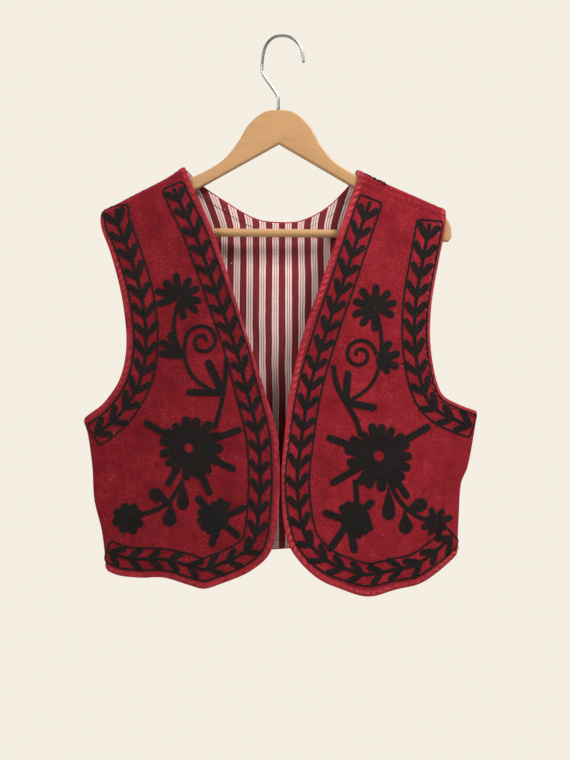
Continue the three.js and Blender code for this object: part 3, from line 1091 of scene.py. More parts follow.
@dataclass(frozen=True)
class LiningFinish:
    """Plain-weave cotton with woven stripes, each pale stripe split by two thin dark lines."""

    name: str = "striped_cotton"
    period: float = 16.75
    phase: float = -8.4
    pale_share: float = 0.50
    pale: Colour = (0.86, 0.64, 0.65)
    maroon: Colour = (0.165, 0.010, 0.016)
    dark: Colour = (0.042, 0.004, 0.008)
    thin_line: Colour = (0.27, 0.13, 0.14)
    faded_pale: Colour = (0.52, 0.33, 0.34)
    light_maroon: Colour = (0.26, 0.035, 0.042)
    weft_shade: Colour = (0.05, 0.012, 0.014)
    lint: Colour = (0.85, 0.75, 0.75)

    def material(self) -> Material:
        """Makes the material from the cut's own place across, stored on the piece.

        Returns:
            The material.
        """
        shader = Shader(self.name)
        cut = shader.attribute("cut").outputs["Vector"]
        wander = shader.span(shader.noise(cut, 16.0, 2.0), 0.25, 0.75, -0.0009, 0.0009)
        across = shader.add("SeparateXYZ")
        shader.join(cut, across.inputs[0])
        moved = shader.maths("ADD", across.outputs[0], wander)
        phased = shader.maths("SUBTRACT", moved, self.phase * MM)
        turns = shader.maths("MULTIPLY", phased, 1 / (self.period * MM))
        centred = shader.maths("SUBTRACT", shader.maths("FRACT", shader.maths("ADD", turns, 0.5)), 0.5)
        away = shader.maths("ABSOLUTE", centred)
        half = self.pale_share / 2
        thread = shader.noise(shader.stretched(cut, (1.0, 0.02, 1.0)), 1500.0, 1.0)
        weft = shader.noise(shader.stretched(cut, (0.03, 1.0, 1.0)), 1500.0, 1.0)
        faded = shader.noise(cut, 26.0, 3.0)
        pale = shader.mix(shader.span(faded, 0.35, 0.7, 0.0, 0.35), self.pale, self.faded_pale)
        maroon = shader.mix(shader.span(thread, 0.3, 0.7, 0.0, 0.6), self.maroon, self.light_maroon)
        in_thin = shader.maths("COMPARE", away, 0.085)
        in_thin.node.inputs[2].default_value = 0.026
        lined = shader.mix(in_thin, pale, self.thin_line)
        shade = shader.mix(shader.span(away, half - 0.012, half + 0.012), lined, self.dark)
        edged = shader.mix(shader.span(away, half + 0.045, half + 0.075), shade, maroon)
        woven = shader.mix(shader.span(weft, 0.3, 0.8, 0.0, 0.16), edged, self.weft_shade)
        lint = shader.specks(cut, 30.0, 0.02)
        shader.colour(shader.mix(lint, woven, self.lint))
        shader.bump(shader.maths("ADD", thread, weft), 0.00025, 0.6)
        shader.constants(Roughness=0.88, Sheen_Weight=0.12, Sheen_Roughness=0.5, Specular_IOR_Level=0.2)
        return shader.material


@dataclass(frozen=True)
class ThreadFinish:
    """Sewing or embroidery thread, matt, with fine twisted fibres."""

    name: str
    colour: Colour
    light: Colour
    sheen: float = 0.12
    lint: Colour = (0.42, 0.40, 0.40)

    def material(self) -> Material:
        """Makes the material, a little uneven in tone, with lint caught in it.

        Returns:
            The material.
        """
        shader = Shader(self.name)
        place = shader.place()
        fibre = shader.noise(place, 900.0, 3.0, 0.7)
        tone = shader.noise(place, 60.0, 2.0)
        shade = shader.mix(shader.span(fibre, 0.35, 0.8), self.colour, self.light)
        dusty = shader.mix(shader.span(tone, 0.5, 0.8, 0.0, 0.4), shade, self.light)
        lint = shader.specks(place, 70.0, 0.026)
        shader.colour(shader.mix(lint, dusty, self.lint))
        shader.bump(fibre, 0.0002, 0.8)
        shader.constants(Roughness=0.85, Specular_IOR_Level=0.25, Sheen_Weight=self.sheen)
        shader.constants(Sheen_Roughness=0.5, Sheen_Tint=(0.8, 0.8, 0.9, 1.0))
        return shader.material


@dataclass(frozen=True)
class WoodFinish:
    """Pale lacquered beech with its grain along the hanger."""

    name: str = "lacquered_beech"
    pale: Colour = (0.485, 0.278, 0.130)
    grain: Colour = (0.415, 0.226, 0.098)

    def material(self) -> Material:
        """Makes the material, with short flecks among the long grain.

        Returns:
            The material.
        """
        shader = Shader(self.name)
        place = shader.place()
        long_grain = shader.noise(shader.stretched(place, (1.0, 16.0, 16.0)), 9.0, 5.0, 0.6)
        flecks = shader.noise(shader.stretched(place, (1.0, 9.0, 9.0)), 130.0, 2.0)
        tone = shader.mix(shader.span(long_grain, 0.38, 0.72, 0.0, 0.75), self.pale, self.grain)
        flecked = shader.mix(shader.span(flecks, 0.62, 0.8, 0.0, 0.4), tone, self.grain)
        shader.colour(flecked)
        shader.join(shader.span(long_grain, 0.3, 0.8, 0.38, 0.5), shader.surface.inputs["Roughness"])
        shader.bump(shader.maths("ADD", long_grain, flecks), 0.00015, 0.4)
        shader.constants(Coat_Weight=0.25, Coat_Roughness=0.25, Specular_IOR_Level=0.45)
        return shader.material


@dataclass(frozen=True)
class SteelFinish:
    """Bright plated wire, with faint drawing marks and dull spots."""

    name: str = "plated_wire"
    colour: Colour = (0.36, 0.38, 0.39)
    dull: Colour = (0.13, 0.135, 0.14)

    def material(self) -> Material:
        """Makes the material.

        Returns:
            The material.
        """
        shader = Shader(self.name)
        place = shader.place()
        spots = shader.noise(place, 90.0, 2.0, 0.5)
        marks = shader.noise(shader.stretched(place, (1.0, 1.0, 0.1)), 900.0, 2.0)
        shader.colour(shader.mix(shader.span(spots, 0.5, 0.8, 0.0, 0.4), self.colour, self.dull))
        shader.join(shader.span(spots, 0.3, 0.8, 0.24, 0.4), shader.surface.inputs["Roughness"])
        shader.bump(marks, 0.00001, 0.15)
        shader.constants(Metallic=1.0)
        return shader.material


@dataclass(frozen=True)
class FloorFinish:
    """Pale matt studio paper."""

    name: str = "pale_paper"
    colour: Colour = (0.86, 0.82, 0.75)

    def material(self) -> Material:
        """Makes the material, with a faint tooth.

        Returns:
            The material.
        """
        shader = Shader(self.name)
        tooth = shader.noise(shader.place(), 300.0, 2.0)
        warmer = (self.colour[0], self.colour[1] * 0.985, self.colour[2] * 0.97)
        shader.colour(shader.mix(tooth, self.colour, warmer))
        shader.bump(tooth, 0.0002, 0.3)
        shader.constants(Roughness=0.95, Specular_IOR_Level=0.1)
        return shader.material


# ---------------------------------------------------------------- cloth


@dataclass
class Ply:
    """One layer of cloth on one panel, made as a closed thin wall on its hanging form."""

    panel: Panel
    name: str
    columns: int
    rows: int
    outer: float
    inner: float
    flat_width: float
    flat_length: float
    flat_area: float
    slot: str
    inset: float = 0.0
    edge_cell: float = 1.4
    edge_strip: float = 14.0

    def shares(self) -> tuple[Array, Array]:
        """Gives the grid's places across and up, drawn in from the edges by the inset.

        Returns:
            The shares across and the shares up, as two grids.
        """
        across, up = self.inset / self.flat_width, self.inset / self.flat_length
        u = across + (1 - 2 * across) * self.closer(self.columns, self.flat_width)
        v = up + (1 - 2 * up) * self.closer(self.rows, self.flat_length)
        return np.meshgrid(u, v)

    def closer(self, count: int, size: float) -> Array:
        """Gives shares from 0 to 1 that lie closer together within the turned edges.

        Args:
            count: About how many shares there are.
            size: The panel's size that way, in millimetres.

        Returns:
            The shares in order.
        """
        turned = self.edge_strip / size
        fine = int(turned * size / self.edge_cell)
        ends = np.linspace(0, turned, fine, endpoint=False)
        inside = np.linspace(turned, 1 - turned, max(count - 2 * fine, 2))
        return np.concatenate([ends, inside, 1 - ends[::-1]])

    def faces_relief(self, flat: Array) -> tuple[Array, Array]:
        """Gives the small relief of the outer face and of the inner one; none here."""
        return np.zeros(flat.shape[:-1]), np.zeros(flat.shape[:-1])

    def build(self) -> Piece:
        """Makes the wall, and stores its place in the cut at each vertex.

        Returns:
            The piece, standing for its CAD node.
        """
        flat = self.panel.flat(*self.shares())
        over, under = self.faces_relief(flat)
        outside = DRAPE.lay(self.panel.face, flat, over - self.outer)
        within = DRAPE.lay(self.panel.face, flat, under - self.inner)
        points = np.vstack([outside.reshape(-1, 3), within.reshape(-1, 3)])
        faces = MeshWork.facing_out(points, MeshWork.wall_faces(*flat.shape[:2]))
        piece = MeshWork.make(self.name, points, faces.tolist(), self.slot)
        cut = np.dstack([self.grain(flat), np.zeros(flat.shape[:2])]).reshape(-1, 3) * MM
        MeshWork.note(piece, "cut", np.vstack([cut, cut]))
        away = self.panel.from_hem(flat)[0].ravel()
        MeshWork.note(piece, "from_hem", np.concatenate([away, away]))
        # The outer relief is stored as ridge; the velvet paints highlights on the ridge tops from it.
        MeshWork.note(piece, "ridge", np.concatenate([over.ravel(), over.ravel()]))
        return piece

    def grain(self, flat: Array) -> Array:
        """Gives the cloth's own place for each flat point; the same here."""
        return flat

    def dress(self, piece: Piece, material: Material) -> None:
        """Gives the piece its finish.

        Args:
            piece: What build made.
            material: Its finish.
        """
        piece.data.materials.append(material)


class VelvetPly(Ply):
    """The outer cloth, with its turned and puckered edges."""

    def faces_relief(self, flat: Array) -> tuple[Array, Array]:
        """Gives the turned edge's relief outside, and the seam's pull near a shoulder."""
        return self.panel.relief(flat), np.zeros(flat.shape[:-1])


class LiningPly(Ply):
    """The lining, softly wrinkled on the side that shows."""

    def faces_relief(self, flat: Array) -> tuple[Array, Array]:
        """Gives shallow wrinkles inside, none outside.

        Args:
            flat: Points of the cut.

        Returns:
            The relief outside and the relief inside.
        """
        x, z = flat[..., 0], flat[..., 1]
        waves = np.sin(x / 17 + 2.2 * np.sin(z / 61)) * np.sin(z / 83 + 0.9 * np.sin(x / 29))
        fine = np.sin(x / 7.5 + 1.7 * np.sin(z / 33)) * np.sin(z / 27 + x / 41)
        return np.zeros(flat.shape[:-1]), -0.55 * (1 + waves) - 0.22 * (1 + fine)

    def grain(self, flat: Array) -> Array:
        """Gives the weave's place, drawn inwards near the neck where the cloth is strained."""
        strain = np.clip((flat[..., 1] + 240) / 40, 0, 1.6)
        return np.stack([flat[..., 0] * (1 - 0.15 * strain), flat[..., 1]], -1)


# ---------------------------------------------------------------- needlework


class Form(Enum):
    """How a filled shape widens: its base's share of the full width, and where it is full."""

    CLUB = (0.50, 0.50)
    BLADE = (0.85, 0.15)
    TEAR = (0.16, 0.74)
    STEM = (1.0, 0.1)


@dataclass(frozen=True)
class Stitch:
    """One kind of stitch: its pitch, how wide a row is, and how proud of the cloth it stands."""

    pitch: float
    width: float
    proud: float
    sink: float
    strands: int

    LOBE = np.array([
        (-0.62, 0.0, 0.0),
        (-0.22, 0.78, 0.0), (-0.22, 0.0, 0.78), (-0.22, -0.78, 0.0), (-0.22, 0.0, -0.78),
        (0.24, 1.0, 0.0), (0.24, 0.0, 1.0), (0.24, -1.0, 0.0), (0.24, 0.0, -1.0),
        (0.52, 0.0, 0.0),
    ])
    LOBE_FACES = [
        *[(0, 1 + (k + 1) % 4, 1 + k) for k in range(4)],
        *[(1 + k, 1 + (k + 1) % 4, 5 + (k + 1) % 4, 5 + k) for k in range(4)],
        *[(9, 5 + k, 5 + (k + 1) % 4) for k in range(4)],
    ]

    def lobes(self) -> list[Array]:
        """Gives the strands of one stitch, lying along x, with y across and z up.

        Returns:
            Each strand's points.
        """
        made = []
        for side in ((-1, 1) if self.strands == 2 else (0,)):
            lobe = self.LOBE * [self.pitch * 1.22, self.width * (0.29 if side else 0.5), self.proud / 2]
            lean = math.radians(-15 * side)
            x = lobe[:, 0] * math.cos(lean) - lobe[:, 1] * math.sin(lean)
            y = lobe[:, 0] * math.sin(lean) + lobe[:, 1] * math.cos(lean) + side * self.width * 0.215
            made.append(np.stack([x, y, lobe[:, 2]], -1))
        return made


CHAIN = Stitch(pitch=3.25, width=2.65, proud=1.4, sink=0.42, strands=2)
RUNNING = Stitch(pitch=3.4, width=0.75, proud=0.6, sink=0.05, strands=1)
LINING_RUNNING = Stitch(pitch=3.2, width=0.7, proud=0.45, sink=0.0, strands=1)


class Needle:
    """Gathers rows of stitches on one panel and makes them into one mesh."""

    SPACING = 1.8

    def __init__(self, panel: Panel, stitch: Stitch, seed: int, depth: float = 0.0) -> None:
        """Threads the needle.

        Args:
            panel: What it sews on.
            stitch: The kind of stitch.
            seed: Start of the small unevenness of handwork.
            depth: How far below the velvet's face it sews; more than 0 means on the inner side.
        """
        self.panel = panel
        self.stitch = stitch
        self.depth = depth
        self.rows: list[Array] = []
        self.random = np.random.default_rng(seed)

    def row(self, path: Array) -> None:
        """Adds one row along flat points, evenly divided into whole stitches.

        Args:
            path: The flat points in order.
        """
        line = Line(path)
        count = int(round(line.length / self.stitch.pitch))
        if count < 1:
            return
        share = (np.arange(count) + 0.5) / count
        here = line.at(share)
        half = 0.5 * self.stitch.pitch / line.length
        ahead = line.at(share + half) - line.at(share - half)
        self.rows.append(np.hstack([here, ahead]))

    def fill(self, spine: Line, width: float, form: Form, round_tip: bool = True) -> None:
        """Fills a shape along its spine: once round its outline, then rows inside.

        Args:
            spine: Its middle line from base to tip.
            width: Its full width.
            form: How it widens.
            round_tip: Whether its tip closes in a half circle.
        """
        share = np.linspace(0, 1, 60)
        run, half = share * spine.length, width / 2
        base, full = form.value
        wide = half * (base + (1 - base) * smoothstep(share, 0, full))
        if round_tip:
            from_end = np.clip((run - (spine.length - half)) / half, 0, 1)
            wide = wide * np.sqrt(1 - from_end**2)
        inside = np.clip(wide - self.SPACING / 2, 0, None)
        centre, across = spine.at(share), spine.across(share)
        most = float(inside.max())
        if most < 0.3 * self.SPACING:
            self.row(centre)
            return
        for sign in (-1, 1):
            self.row(centre + sign * inside[:, None] * across)
        inner = max(int(round(2 * most / self.SPACING)) - 1, 0)
        for offset in np.linspace(-most, most, inner + 2)[1:-1]:
            kept = np.flatnonzero(inside > abs(offset) + 0.55 * self.SPACING)
            if len(kept) > 3:
                self.row(centre[kept] + offset * across[kept])

    def disc(self, x: float, z: float, inner: float, outer: float) -> None:
        """Fills a round place with rings, from an inner radius to an outer one.

        Args:
            x: The middle's place across.
            z: The middle's height.
            inner: The inner radius.
            outer: The outer radius.
        """
        turn = np.linspace(0, 2 * math.pi, 90)
        ring = np.stack([np.cos(turn), np.sin(turn)], -1)
        for radius in np.arange(inner + self.SPACING / 2, outer, self.SPACING):
            self.row(np.array([x, z]) + ring * radius)

    def build(self, name: str, slot: str) -> Piece:
        """Makes all the rows into one mesh.

        Args:
            name: The piece's name.
            slot: The record's material slot.

        Returns:
            The piece.
        """
        laid = np.vstack(self.rows)
        here, ahead = laid[:, :2], laid[:, 2:]
        face = self.panel.face
        out = DRAPE.outward(face, here)
        if self.depth > 0:
            base = DRAPE.surface(face, here) - out * (self.depth + self.stitch.sink)
            out = -out
        else:
            lift = self.panel.relief(here) + self.stitch.sink
            base = DRAPE.surface(face, here) + out * lift[:, None]
        along = DRAPE.surface(face, here + ahead / 2) - DRAPE.surface(face, here - ahead / 2)
        along -= out * np.einsum("ij,ij->i", along, out)[:, None]
        along /= np.linalg.norm(along, axis=1, keepdims=True) + TINY
        across = np.cross(out, along)

        count = len(here)
        turn = self.random.normal(0, math.radians(4), count)
        size = 1 + self.random.normal(0, 0.06, (count, 3))
        forward = along * np.cos(turn)[:, None] + across * np.sin(turn)[:, None]
        sideways = across * np.cos(turn)[:, None] - along * np.sin(turn)[:, None]
        blocks = []
        for lobe in self.stitch.lobes():
            local = lobe[None] * size[:, None, :]
            blocks.append(
                base[:, None]
                + local[..., 0:1] * forward[:, None]
                + local[..., 1:2] * sideways[:, None]
                + local[..., 2:3] * out[:, None]
            )
        points = np.concatenate(blocks).reshape(-1, 3)
        faces = []
        for start in range(0, len(points), len(Stitch.LOBE)):
            faces.extend([tuple(start + k for k in one) for one in Stitch.LOBE_FACES])
        return MeshWork.make(name, points, faces, slot)


@dataclass(frozen=True)
class Leaf:
    """A filled leaf, petal or drop from a point, in one direction."""

    x: float
    z: float
    angle: float
    length: float
    width: float
    form: Form = Form.CLUB
    skip: float = 0.0

    def work(self, needle: Needle) -> None:
        """Sews the leaf.

        Args:
            needle: What it is sewn with.
        """
        start = np.array([self.x, self.z]) + heading(self.angle) * self.skip
        share = np.linspace(0, 1, 20)[:, None]
        straight = start + heading(self.angle) * (self.length - self.skip) * share
        needle.fill(Line(straight), self.width, self.form)


@dataclass(frozen=True)
class Flower:
    """Petals set round a centre, evenly over all or part of a turn."""

    x: float
    z: float
    petals: int
    outer: float
    width: float
    start: float = 90.0
    sweep: float = 360.0
    form: Form = Form.CLUB
    inner: float = 1.5
    uneven: float = 0.06
    core: float = 0.0

    def work(self, needle: Needle) -> None:
        """Sews the petals one after another.

        Args:
            needle: What it is sewn with.
        """
        if self.core > 0:
            needle.disc(self.x, self.z, 0.0, self.core)
        steps = self.petals if self.sweep >= 360 else self.petals - 1
        for k in range(self.petals):
            angle = self.start + self.sweep * k / steps + needle.random.normal(0, 2.0)
            length = self.outer * (1 + needle.random.normal(0, self.uneven))
            Leaf(self.x, self.z, angle, length, self.width, self.form, skip=self.inner).work(needle)


@dataclass(frozen=True)
class Rosette:
    """A large filled flower round a bare eye, its petals longer towards one side."""

    x: float
    z: float
    petals: int
    eye: float
    outer: float
    lean: float = 0.0
    lean_angle: float = 0.0
    lobe: float = 16.0

    def work(self, needle: Needle) -> None:
        """Sews rings round the eye, then the petals.

        Args:
            needle: What it is sewn with.
        """
        solid = self.outer - self.lobe
        needle.disc(self.x, self.z, self.eye, solid)
        for k in range(self.petals):
            angle = 360 * k / self.petals + needle.random.normal(0, 1.5)
            reach = self.outer + self.lean * math.cos(math.radians(angle - self.lean_angle))
            reach *= 1 + needle.random.normal(0, 0.035)
            width = 1.75 * math.pi * (reach - self.lobe / 2) / self.petals
            Leaf(self.x, self.z, angle, reach, width, Form.BLADE, skip=solid - 1.5).work(needle)


@dataclass(frozen=True)
class Vine:
    """A stem from one place to another, bowed to its left or, where less than 0, to its right."""

    x: float
    z: float
    to_x: float
    to_z: float
    bow: float = 0.0
    sway: float = 0.0
    width: float = 5.0

    def work(self, needle: Needle) -> None:
        """Sews the stem.

        Args:
            needle: What it is sewn with.
        """
        start, end = np.array([self.x, self.z]), np.array([self.to_x, self.to_z])
        share = np.linspace(0, 1, 40)[:, None]
        left = np.array([start[1] - end[1], end[0] - start[0]]) / np.linalg.norm(end - start)
        away = self.bow * np.sin(math.pi * share) + self.sway * np.sin(2 * math.pi * share)
        path = Line(start + (end - start) * share + left * away)
        needle.fill(path, self.width, Form.STEM, round_tip=False)


@dataclass(frozen=True)
class Curl:
    """A stem wound in a spiral that grows evenly, then runs on in one easy arc."""

    x: float
    z: float
    inner: float
    outer: float
    start: float
    turn: float
    onward: tuple[float, float] | None = None
    width: float = 4.2
    ease: float = 0.85

    def work(self, needle: Needle) -> None:
        """Sews the spiral and its stem in one line.

        Args:
            needle: What it is sewn with.
        """
        share = np.linspace(0, 1, 60)
        angle = np.radians(self.start + self.turn * share)
        radius = self.inner + (self.outer - self.inner) * share
        line = np.stack([self.x + radius * np.cos(angle), self.z + radius * np.sin(angle)], -1)
        if self.onward is not None:
            leave = line[-1] - line[-2]
            leave /= np.linalg.norm(leave)
            goal = np.array(self.onward)
            corner = line[-1] + leave * self.ease * np.dot(goal - line[-1], leave)
            t = share[1:, None]
            arc = (1 - t) ** 2 * line[-1] + 2 * t * (1 - t) * corner + t**2 * goal
            line = np.vstack([line, arc])
        needle.fill(Line(line), self.width, Form.STEM, round_tip=False)


Motif = Leaf | Flower | Rosette | Vine | Curl


@dataclass(frozen=True)
class Border:
    """A band of leaf pairs on a stem, between two outlines beside a turned edge.

    Its course has a row for each place on the edge where the band changes: the place's x and z,
    the margin left beside the edge there, and the width of the band.
    """

    course: tuple[tuple[float, float, float, float], ...]
    pitch: float = 25.5
    leaf_length: float = 0.76
    leaf_width: float = 0.245
    leaf_angle: float = 34.0
    stem_width: float = 3.9
    lead: float = 22.0
    bud: float = 4.0
    ease: float = 60.0
    spare: float = 30.0
    corner: float = 5.5

    def work(self, needle: Needle, edge: Line, start: float, end: float,
             caps: tuple[bool, bool] = (True, True)) -> None:
        """Sews the band along an edge.

        Args:
            needle: What it is sewn with.
            edge: The turned edge that it follows.
            start: Distance from the edge's start at which it begins.
            end: Distance from the edge's end at which it stops, or less than 0 to run past it.
            caps: Whether a line closes it at its start and at its end.
        """
        towards = needle.panel.centre
        rows = np.array(sorted((edge.nearest(row[:2]), *row[2:]) for row in self.course))
        share = np.linspace(0, 1, 500)
        margin, width = (np.interp(share, rows[:, 0], rows[:, k]) for k in (1, 2))
        eases = self.ease * 0.3, self.ease * 0.6, self.ease
        lines = [
            edge.beside(margin + part * width, towards, ease).longer(self.spare)
            for part, ease in zip((0.0, 0.5, 1.0), eases)
        ]
        cut = [
            line.part((self.spare + start) / line.length, 1 - (self.spare + end) / line.length)
            for line in lines
        ]
        for line in (cut[0], cut[2]):
            spared = self.corner / line.length
            needle.row(line.part(spared if caps[0] else 0.0, 1 - spared if caps[1] else 1.0).points)
        for wanted, is_end in zip(caps, (False, True)):
            if wanted:
                self.cap(needle, cut[0], cut[2], is_end)
        self.leaves(needle, cut[1], float(width.mean()))

    def cap(self, needle: Needle, near: Line, far: Line, is_end: bool) -> None:
        """Closes a band between its outlines with a line that is rounded at both corners.

        Args:
            needle: What it is sewn with.
            near: The outline beside the edge.
            far: The other outline.
            is_end: Whether it closes their end and not their start.
        """
        points = []
        for line in (near, far):
            spared = self.corner / line.length
            points.append(line.at(np.array([1.0 - spared, 1.0] if is_end else [spared, 0.0])))
        (start, first), (finish, last) = points
        along = (last - first) / (np.linalg.norm(last - first) + TINY) * self.corner
        t = np.linspace(0, 1, 8)[:, None]
        into = (1 - t) ** 2 * start + 2 * t * (1 - t) * first + t**2 * (first + along)
        out = (1 - t) ** 2 * (last - along) + 2 * t * (1 - t) * last + t**2 * finish
        needle.row(np.vstack([into, out]))

    def leaves(self, needle: Needle, middle: Line, width: float) -> None:
        """Sews the stem with its leaf pairs, which point back the way that it came.

        Args:
            needle: What it is sewn with.
            middle: The band's middle line.
            width: The band's mean width.
        """
        long, wide = self.leaf_length * width, self.leaf_width * width
        count = max(int(round((middle.length - self.lead - 4) / self.pitch)), 1)
        pitch = (middle.length - self.lead - 3) / count
        for k in range(count + 1):
            share = (self.lead + k * pitch) / middle.length
            foot = middle.at(np.array(share))
            left = middle.across(np.array(share))
            back = math.degrees(math.atan2(-left[0], left[1])) + 180
            for side in (-1, 1):
                angle = back + side * (self.leaf_angle + needle.random.normal(0, 3.0))
                length = long * (1 + needle.random.normal(0, 0.06))
                Leaf(foot[0], foot[1], angle, length, wide, Form.CLUB).work(needle)
        stem = middle.part(self.bud / middle.length, (self.lead + count * pitch) / middle.length)
        needle.fill(stem, self.stem_width, Form.STEM, round_tip=False)


RIGHT_FRONT_BORDER = Border(course=(
    (-112, -196, 9, 29), (-40, -400, 4, 29), (-5, -510, 10, 29), (-180, -690, 10, 28),
))
LEFT_FRONT_BORDER = Border(lead=29.0, course=(
    (93, -196, 9, 31), (26, -382, 12, 30), (0, -565, 5, 30), (109, -713, 14, 28), (214, -671, 8, 29),
))
RIGHT_ARM_BORDER = Border(
    pitch=24.0, lead=26.0, ease=44.0, course=((-230, -222, 5, 31), (-203, -337, 10, 31)),
)
LEFT_ARM_BORDER = Border(pitch=24.0, lead=25.0, ease=30.0, course=((208, -230, 4, 33), (226, -470, 5, 30)))
BACK_BORDER = Border(course=((0, -234, 10.0, 28), (200, -659, 10.0, 28)))
BACK_ARM_BORDER = Border(pitch=24.5, ease=30.0, course=((-230, -244, 8.0, 29), (206, -460, 8.0, 29)))


# Motifs on the wearer's right front, from the top down: millimetres on the cut, and degrees.
RIGHT_MOTIFS: tuple[Motif, ...] = (
    Flower(-130, -335, petals=9, outer=28, width=8.6, start=-75, sweep=275),
    Vine(-130, -340, -125, -410, bow=-9, width=4.4),
    Leaf(-125, -410, 120, 35, 9),
    Leaf(-125, -410, 145, 35, 9),
    Leaf(-125, -410, 170, 30, 9),
    Curl(-100, -390, inner=4, outer=22, start=0, turn=540, onward=(-80, -455)),
    Leaf(-75, -455, 115, 45, 9.5, Form.BLADE),
    Leaf(-75, -455, 180, 45, 8.5, Form.BLADE),
    Vine(-70, -410, -85, -500, bow=4),
    Rosette(-117.5, -525, petals=15, eye=6, outer=40, lean=4, lean_angle=15),
    Leaf(-117.5, -525, 150, 65, 8, Form.BLADE, skip=30),
    Leaf(-117.5, -525, 20, 70, 8, Form.BLADE, skip=34),
    Leaf(-117.5, -525, -25, 65, 8, Form.BLADE, skip=34),
    Leaf(-117.5, -525, -65, 65, 8, Form.BLADE, skip=34),
    Leaf(-117.5, -525, 240, 55, 8, Form.BLADE, skip=30),
    Vine(-125, -565, -185, -610, bow=12),
    Leaf(-125, -570, -90, 32, 15, Form.TEAR),
    Leaf(-140, -595, 150, 30, 16, Form.TEAR),
    Leaf(-140, -595, 265, 28, 18, Form.TEAR),
    Flower(-195, -615, petals=8, outer=20, width=12, start=20, uneven=0.04, core=8),
    Flower(-80, -615, petals=9, outer=25, width=10, start=60, sweep=200, core=12),
    Leaf(-80, -615, 135, 40, 8.5, Form.BLADE),
    Leaf(-80, -615, 25, 38, 8, Form.BLADE),
    Leaf(-80, -615, -40, 35, 8, Form.BLADE),
    Leaf(-80, -615, 255, 35, 8.5, Form.BLADE),
)
# Motifs on the wearer's left front, from the top down.
LEFT_MOTIFS: tuple[Motif, ...] = (
    Flower(117.5, -347.5, petals=9, outer=28, width=8.8, start=-20, sweep=290, uneven=0.04),
    Vine(120, -355, 125, -415, bow=3, width=4.2),
    Vine(125, -415, 85, -465, bow=9, width=4.2),
    Leaf(120, -415, 55, 30, 9),
    Leaf(120, -415, 20, 30, 9),
    Leaf(120, -415, -15, 28, 9),
    Leaf(120, -415, -45, 22, 7),
    Curl(98, -407.5, inner=4, outer=21, start=190, turn=-550),
    Leaf(80, -467.5, 85, 40, 8.8, Form.BLADE),
    Leaf(80, -467.5, -10, 40, 8.6, Form.BLADE),
    Vine(65, -420, 100, -510, bow=-3, sway=-3, width=6),
    Rosette(122.5, -535, petals=17, eye=7, outer=42, lean=2.5, lean_angle=-90),
    Leaf(122.5, -535, 160, 70, 8.4, Form.BLADE, skip=34),
    Leaf(122.5, -535, 30, 75, 8.4, Form.BLADE, skip=34),
    Leaf(122.5, -535, 210, 70, 8.4, Form.BLADE, skip=34),
    Leaf(122.5, -535, -55, 65, 8.4, Form.BLADE, skip=34),
    Vine(92.5, -565, 95, -600, width=6.5),
    Flower(87.5, -617.5, petals=10, outer=25, width=9.6, start=-60, sweep=180, core=13),
    Leaf(85, -617.5, 160, 35, 8.8, Form.BLADE),
    Leaf(85, -617.5, 235, 45, 8.8, Form.BLADE),
    Leaf(85, -617.5, -80, 40, 9, Form.BLADE),
    Leaf(85, -617.5, 40, 40, 9, Form.BLADE),
    Vine(135, -565, 190, -620, bow=-10),
    Leaf(135, -575, -90, 40, 16, Form.TEAR),
    Leaf(155, -605, 20, 30, 17, Form.TEAR),
    Leaf(155, -605, -85, 28, 18, Form.TEAR),
    Flower(195, -620, petals=8, outer=18, width=7.5, start=15, core=3, uneven=0.12),
)


@dataclass(frozen=True)
class FrontWork:
    """The needlework of one front: its borders, where they begin and end, and its flowers."""

    edge: Border
    arm: Border
    motifs: tuple[Motif, ...]
    edge_start: float
    arm_start: float
    edge_end: float
    seed: int


@dataclass
class Embroidery:
    """The black chain-stitch work on the three panels."""

    right: FrontWork = FrontWork(
        RIGHT_FRONT_BORDER, RIGHT_ARM_BORDER, RIGHT_MOTIFS, edge_start=25, arm_start=1, edge_end=-5, seed=3,
    )
    left: FrontWork = FrontWork(
        LEFT_FRONT_BORDER, LEFT_ARM_BORDER, LEFT_MOTIFS, edge_start=20, arm_start=12, edge_end=-9, seed=7,
    )
    back_start: float = 14.0
    back_arm_start: float = 20.0
    side_gap: float = 3.0
    back_seed: int = 11
    thread: ThreadFinish = ThreadFinish(
        "black_thread", colour=(0.0035, 0.0032, 0.0034), light=(0.0115, 0.0105, 0.011), sheen=0.04,
    )

    def finish(self) -> Material:
        """Makes the thread's material."""
        return self.thread.material()

    def front(self, panel: Panel, plan: FrontWork) -> list[Piece]:
        """Embroiders one front.

        Args:
            panel: The front.
            plan: What is sewn on it.

        Returns:
            The borders as one piece and the flowers as another.
        """
        borders = Needle(panel, CHAIN, plan.seed)
        edge, armhole = panel.hems
        plan.edge.work(borders, edge, plan.edge_start, plan.edge_end)
        plan.arm.work(borders, armhole, plan.arm_start, 1.0)
        inner = Needle(panel, CHAIN, plan.seed + 1)
        for motif in plan.motifs:
            motif.work(inner)
        return [
            borders.build(f"embroidered_borders_{panel.name}", "embroidery"),
            inner.build(f"embroidered_flowers_{panel.name}", "embroidery"),
        ]

    def back(self, panel: Panel) -> list[Piece]:
        """Embroiders the back with its borders only.

        Args:
            panel: The back.

        Returns:
            The upper borders as one piece and the hem's as another.
        """
        neck, hem, *armholes = panel.hems
        upper = Needle(panel, CHAIN, self.back_seed)
        for half in (neck.part(0.0, 0.5), neck.part(1.0, 0.5)):
            BACK_BORDER.work(upper, half, self.back_start, 0.0, caps=(True, False))
        for armhole in armholes:
            BACK_ARM_BORDER.work(upper, armhole, self.back_arm_start, 1.0)
        lower = Needle(panel, CHAIN, self.back_seed + 1)
        for half in (hem.part(0.5, 0.0), hem.part(0.5, 1.0)):
            BACK_BORDER.work(lower, half, 0.0, self.side_gap, caps=(False, True))
        return [
            upper.build("embroidered_borders_back", "embroidery"),
            lower.build("embroidered_hem_back", "embroidery"),
        ]


# ---------------------------------------------------------------- the vest


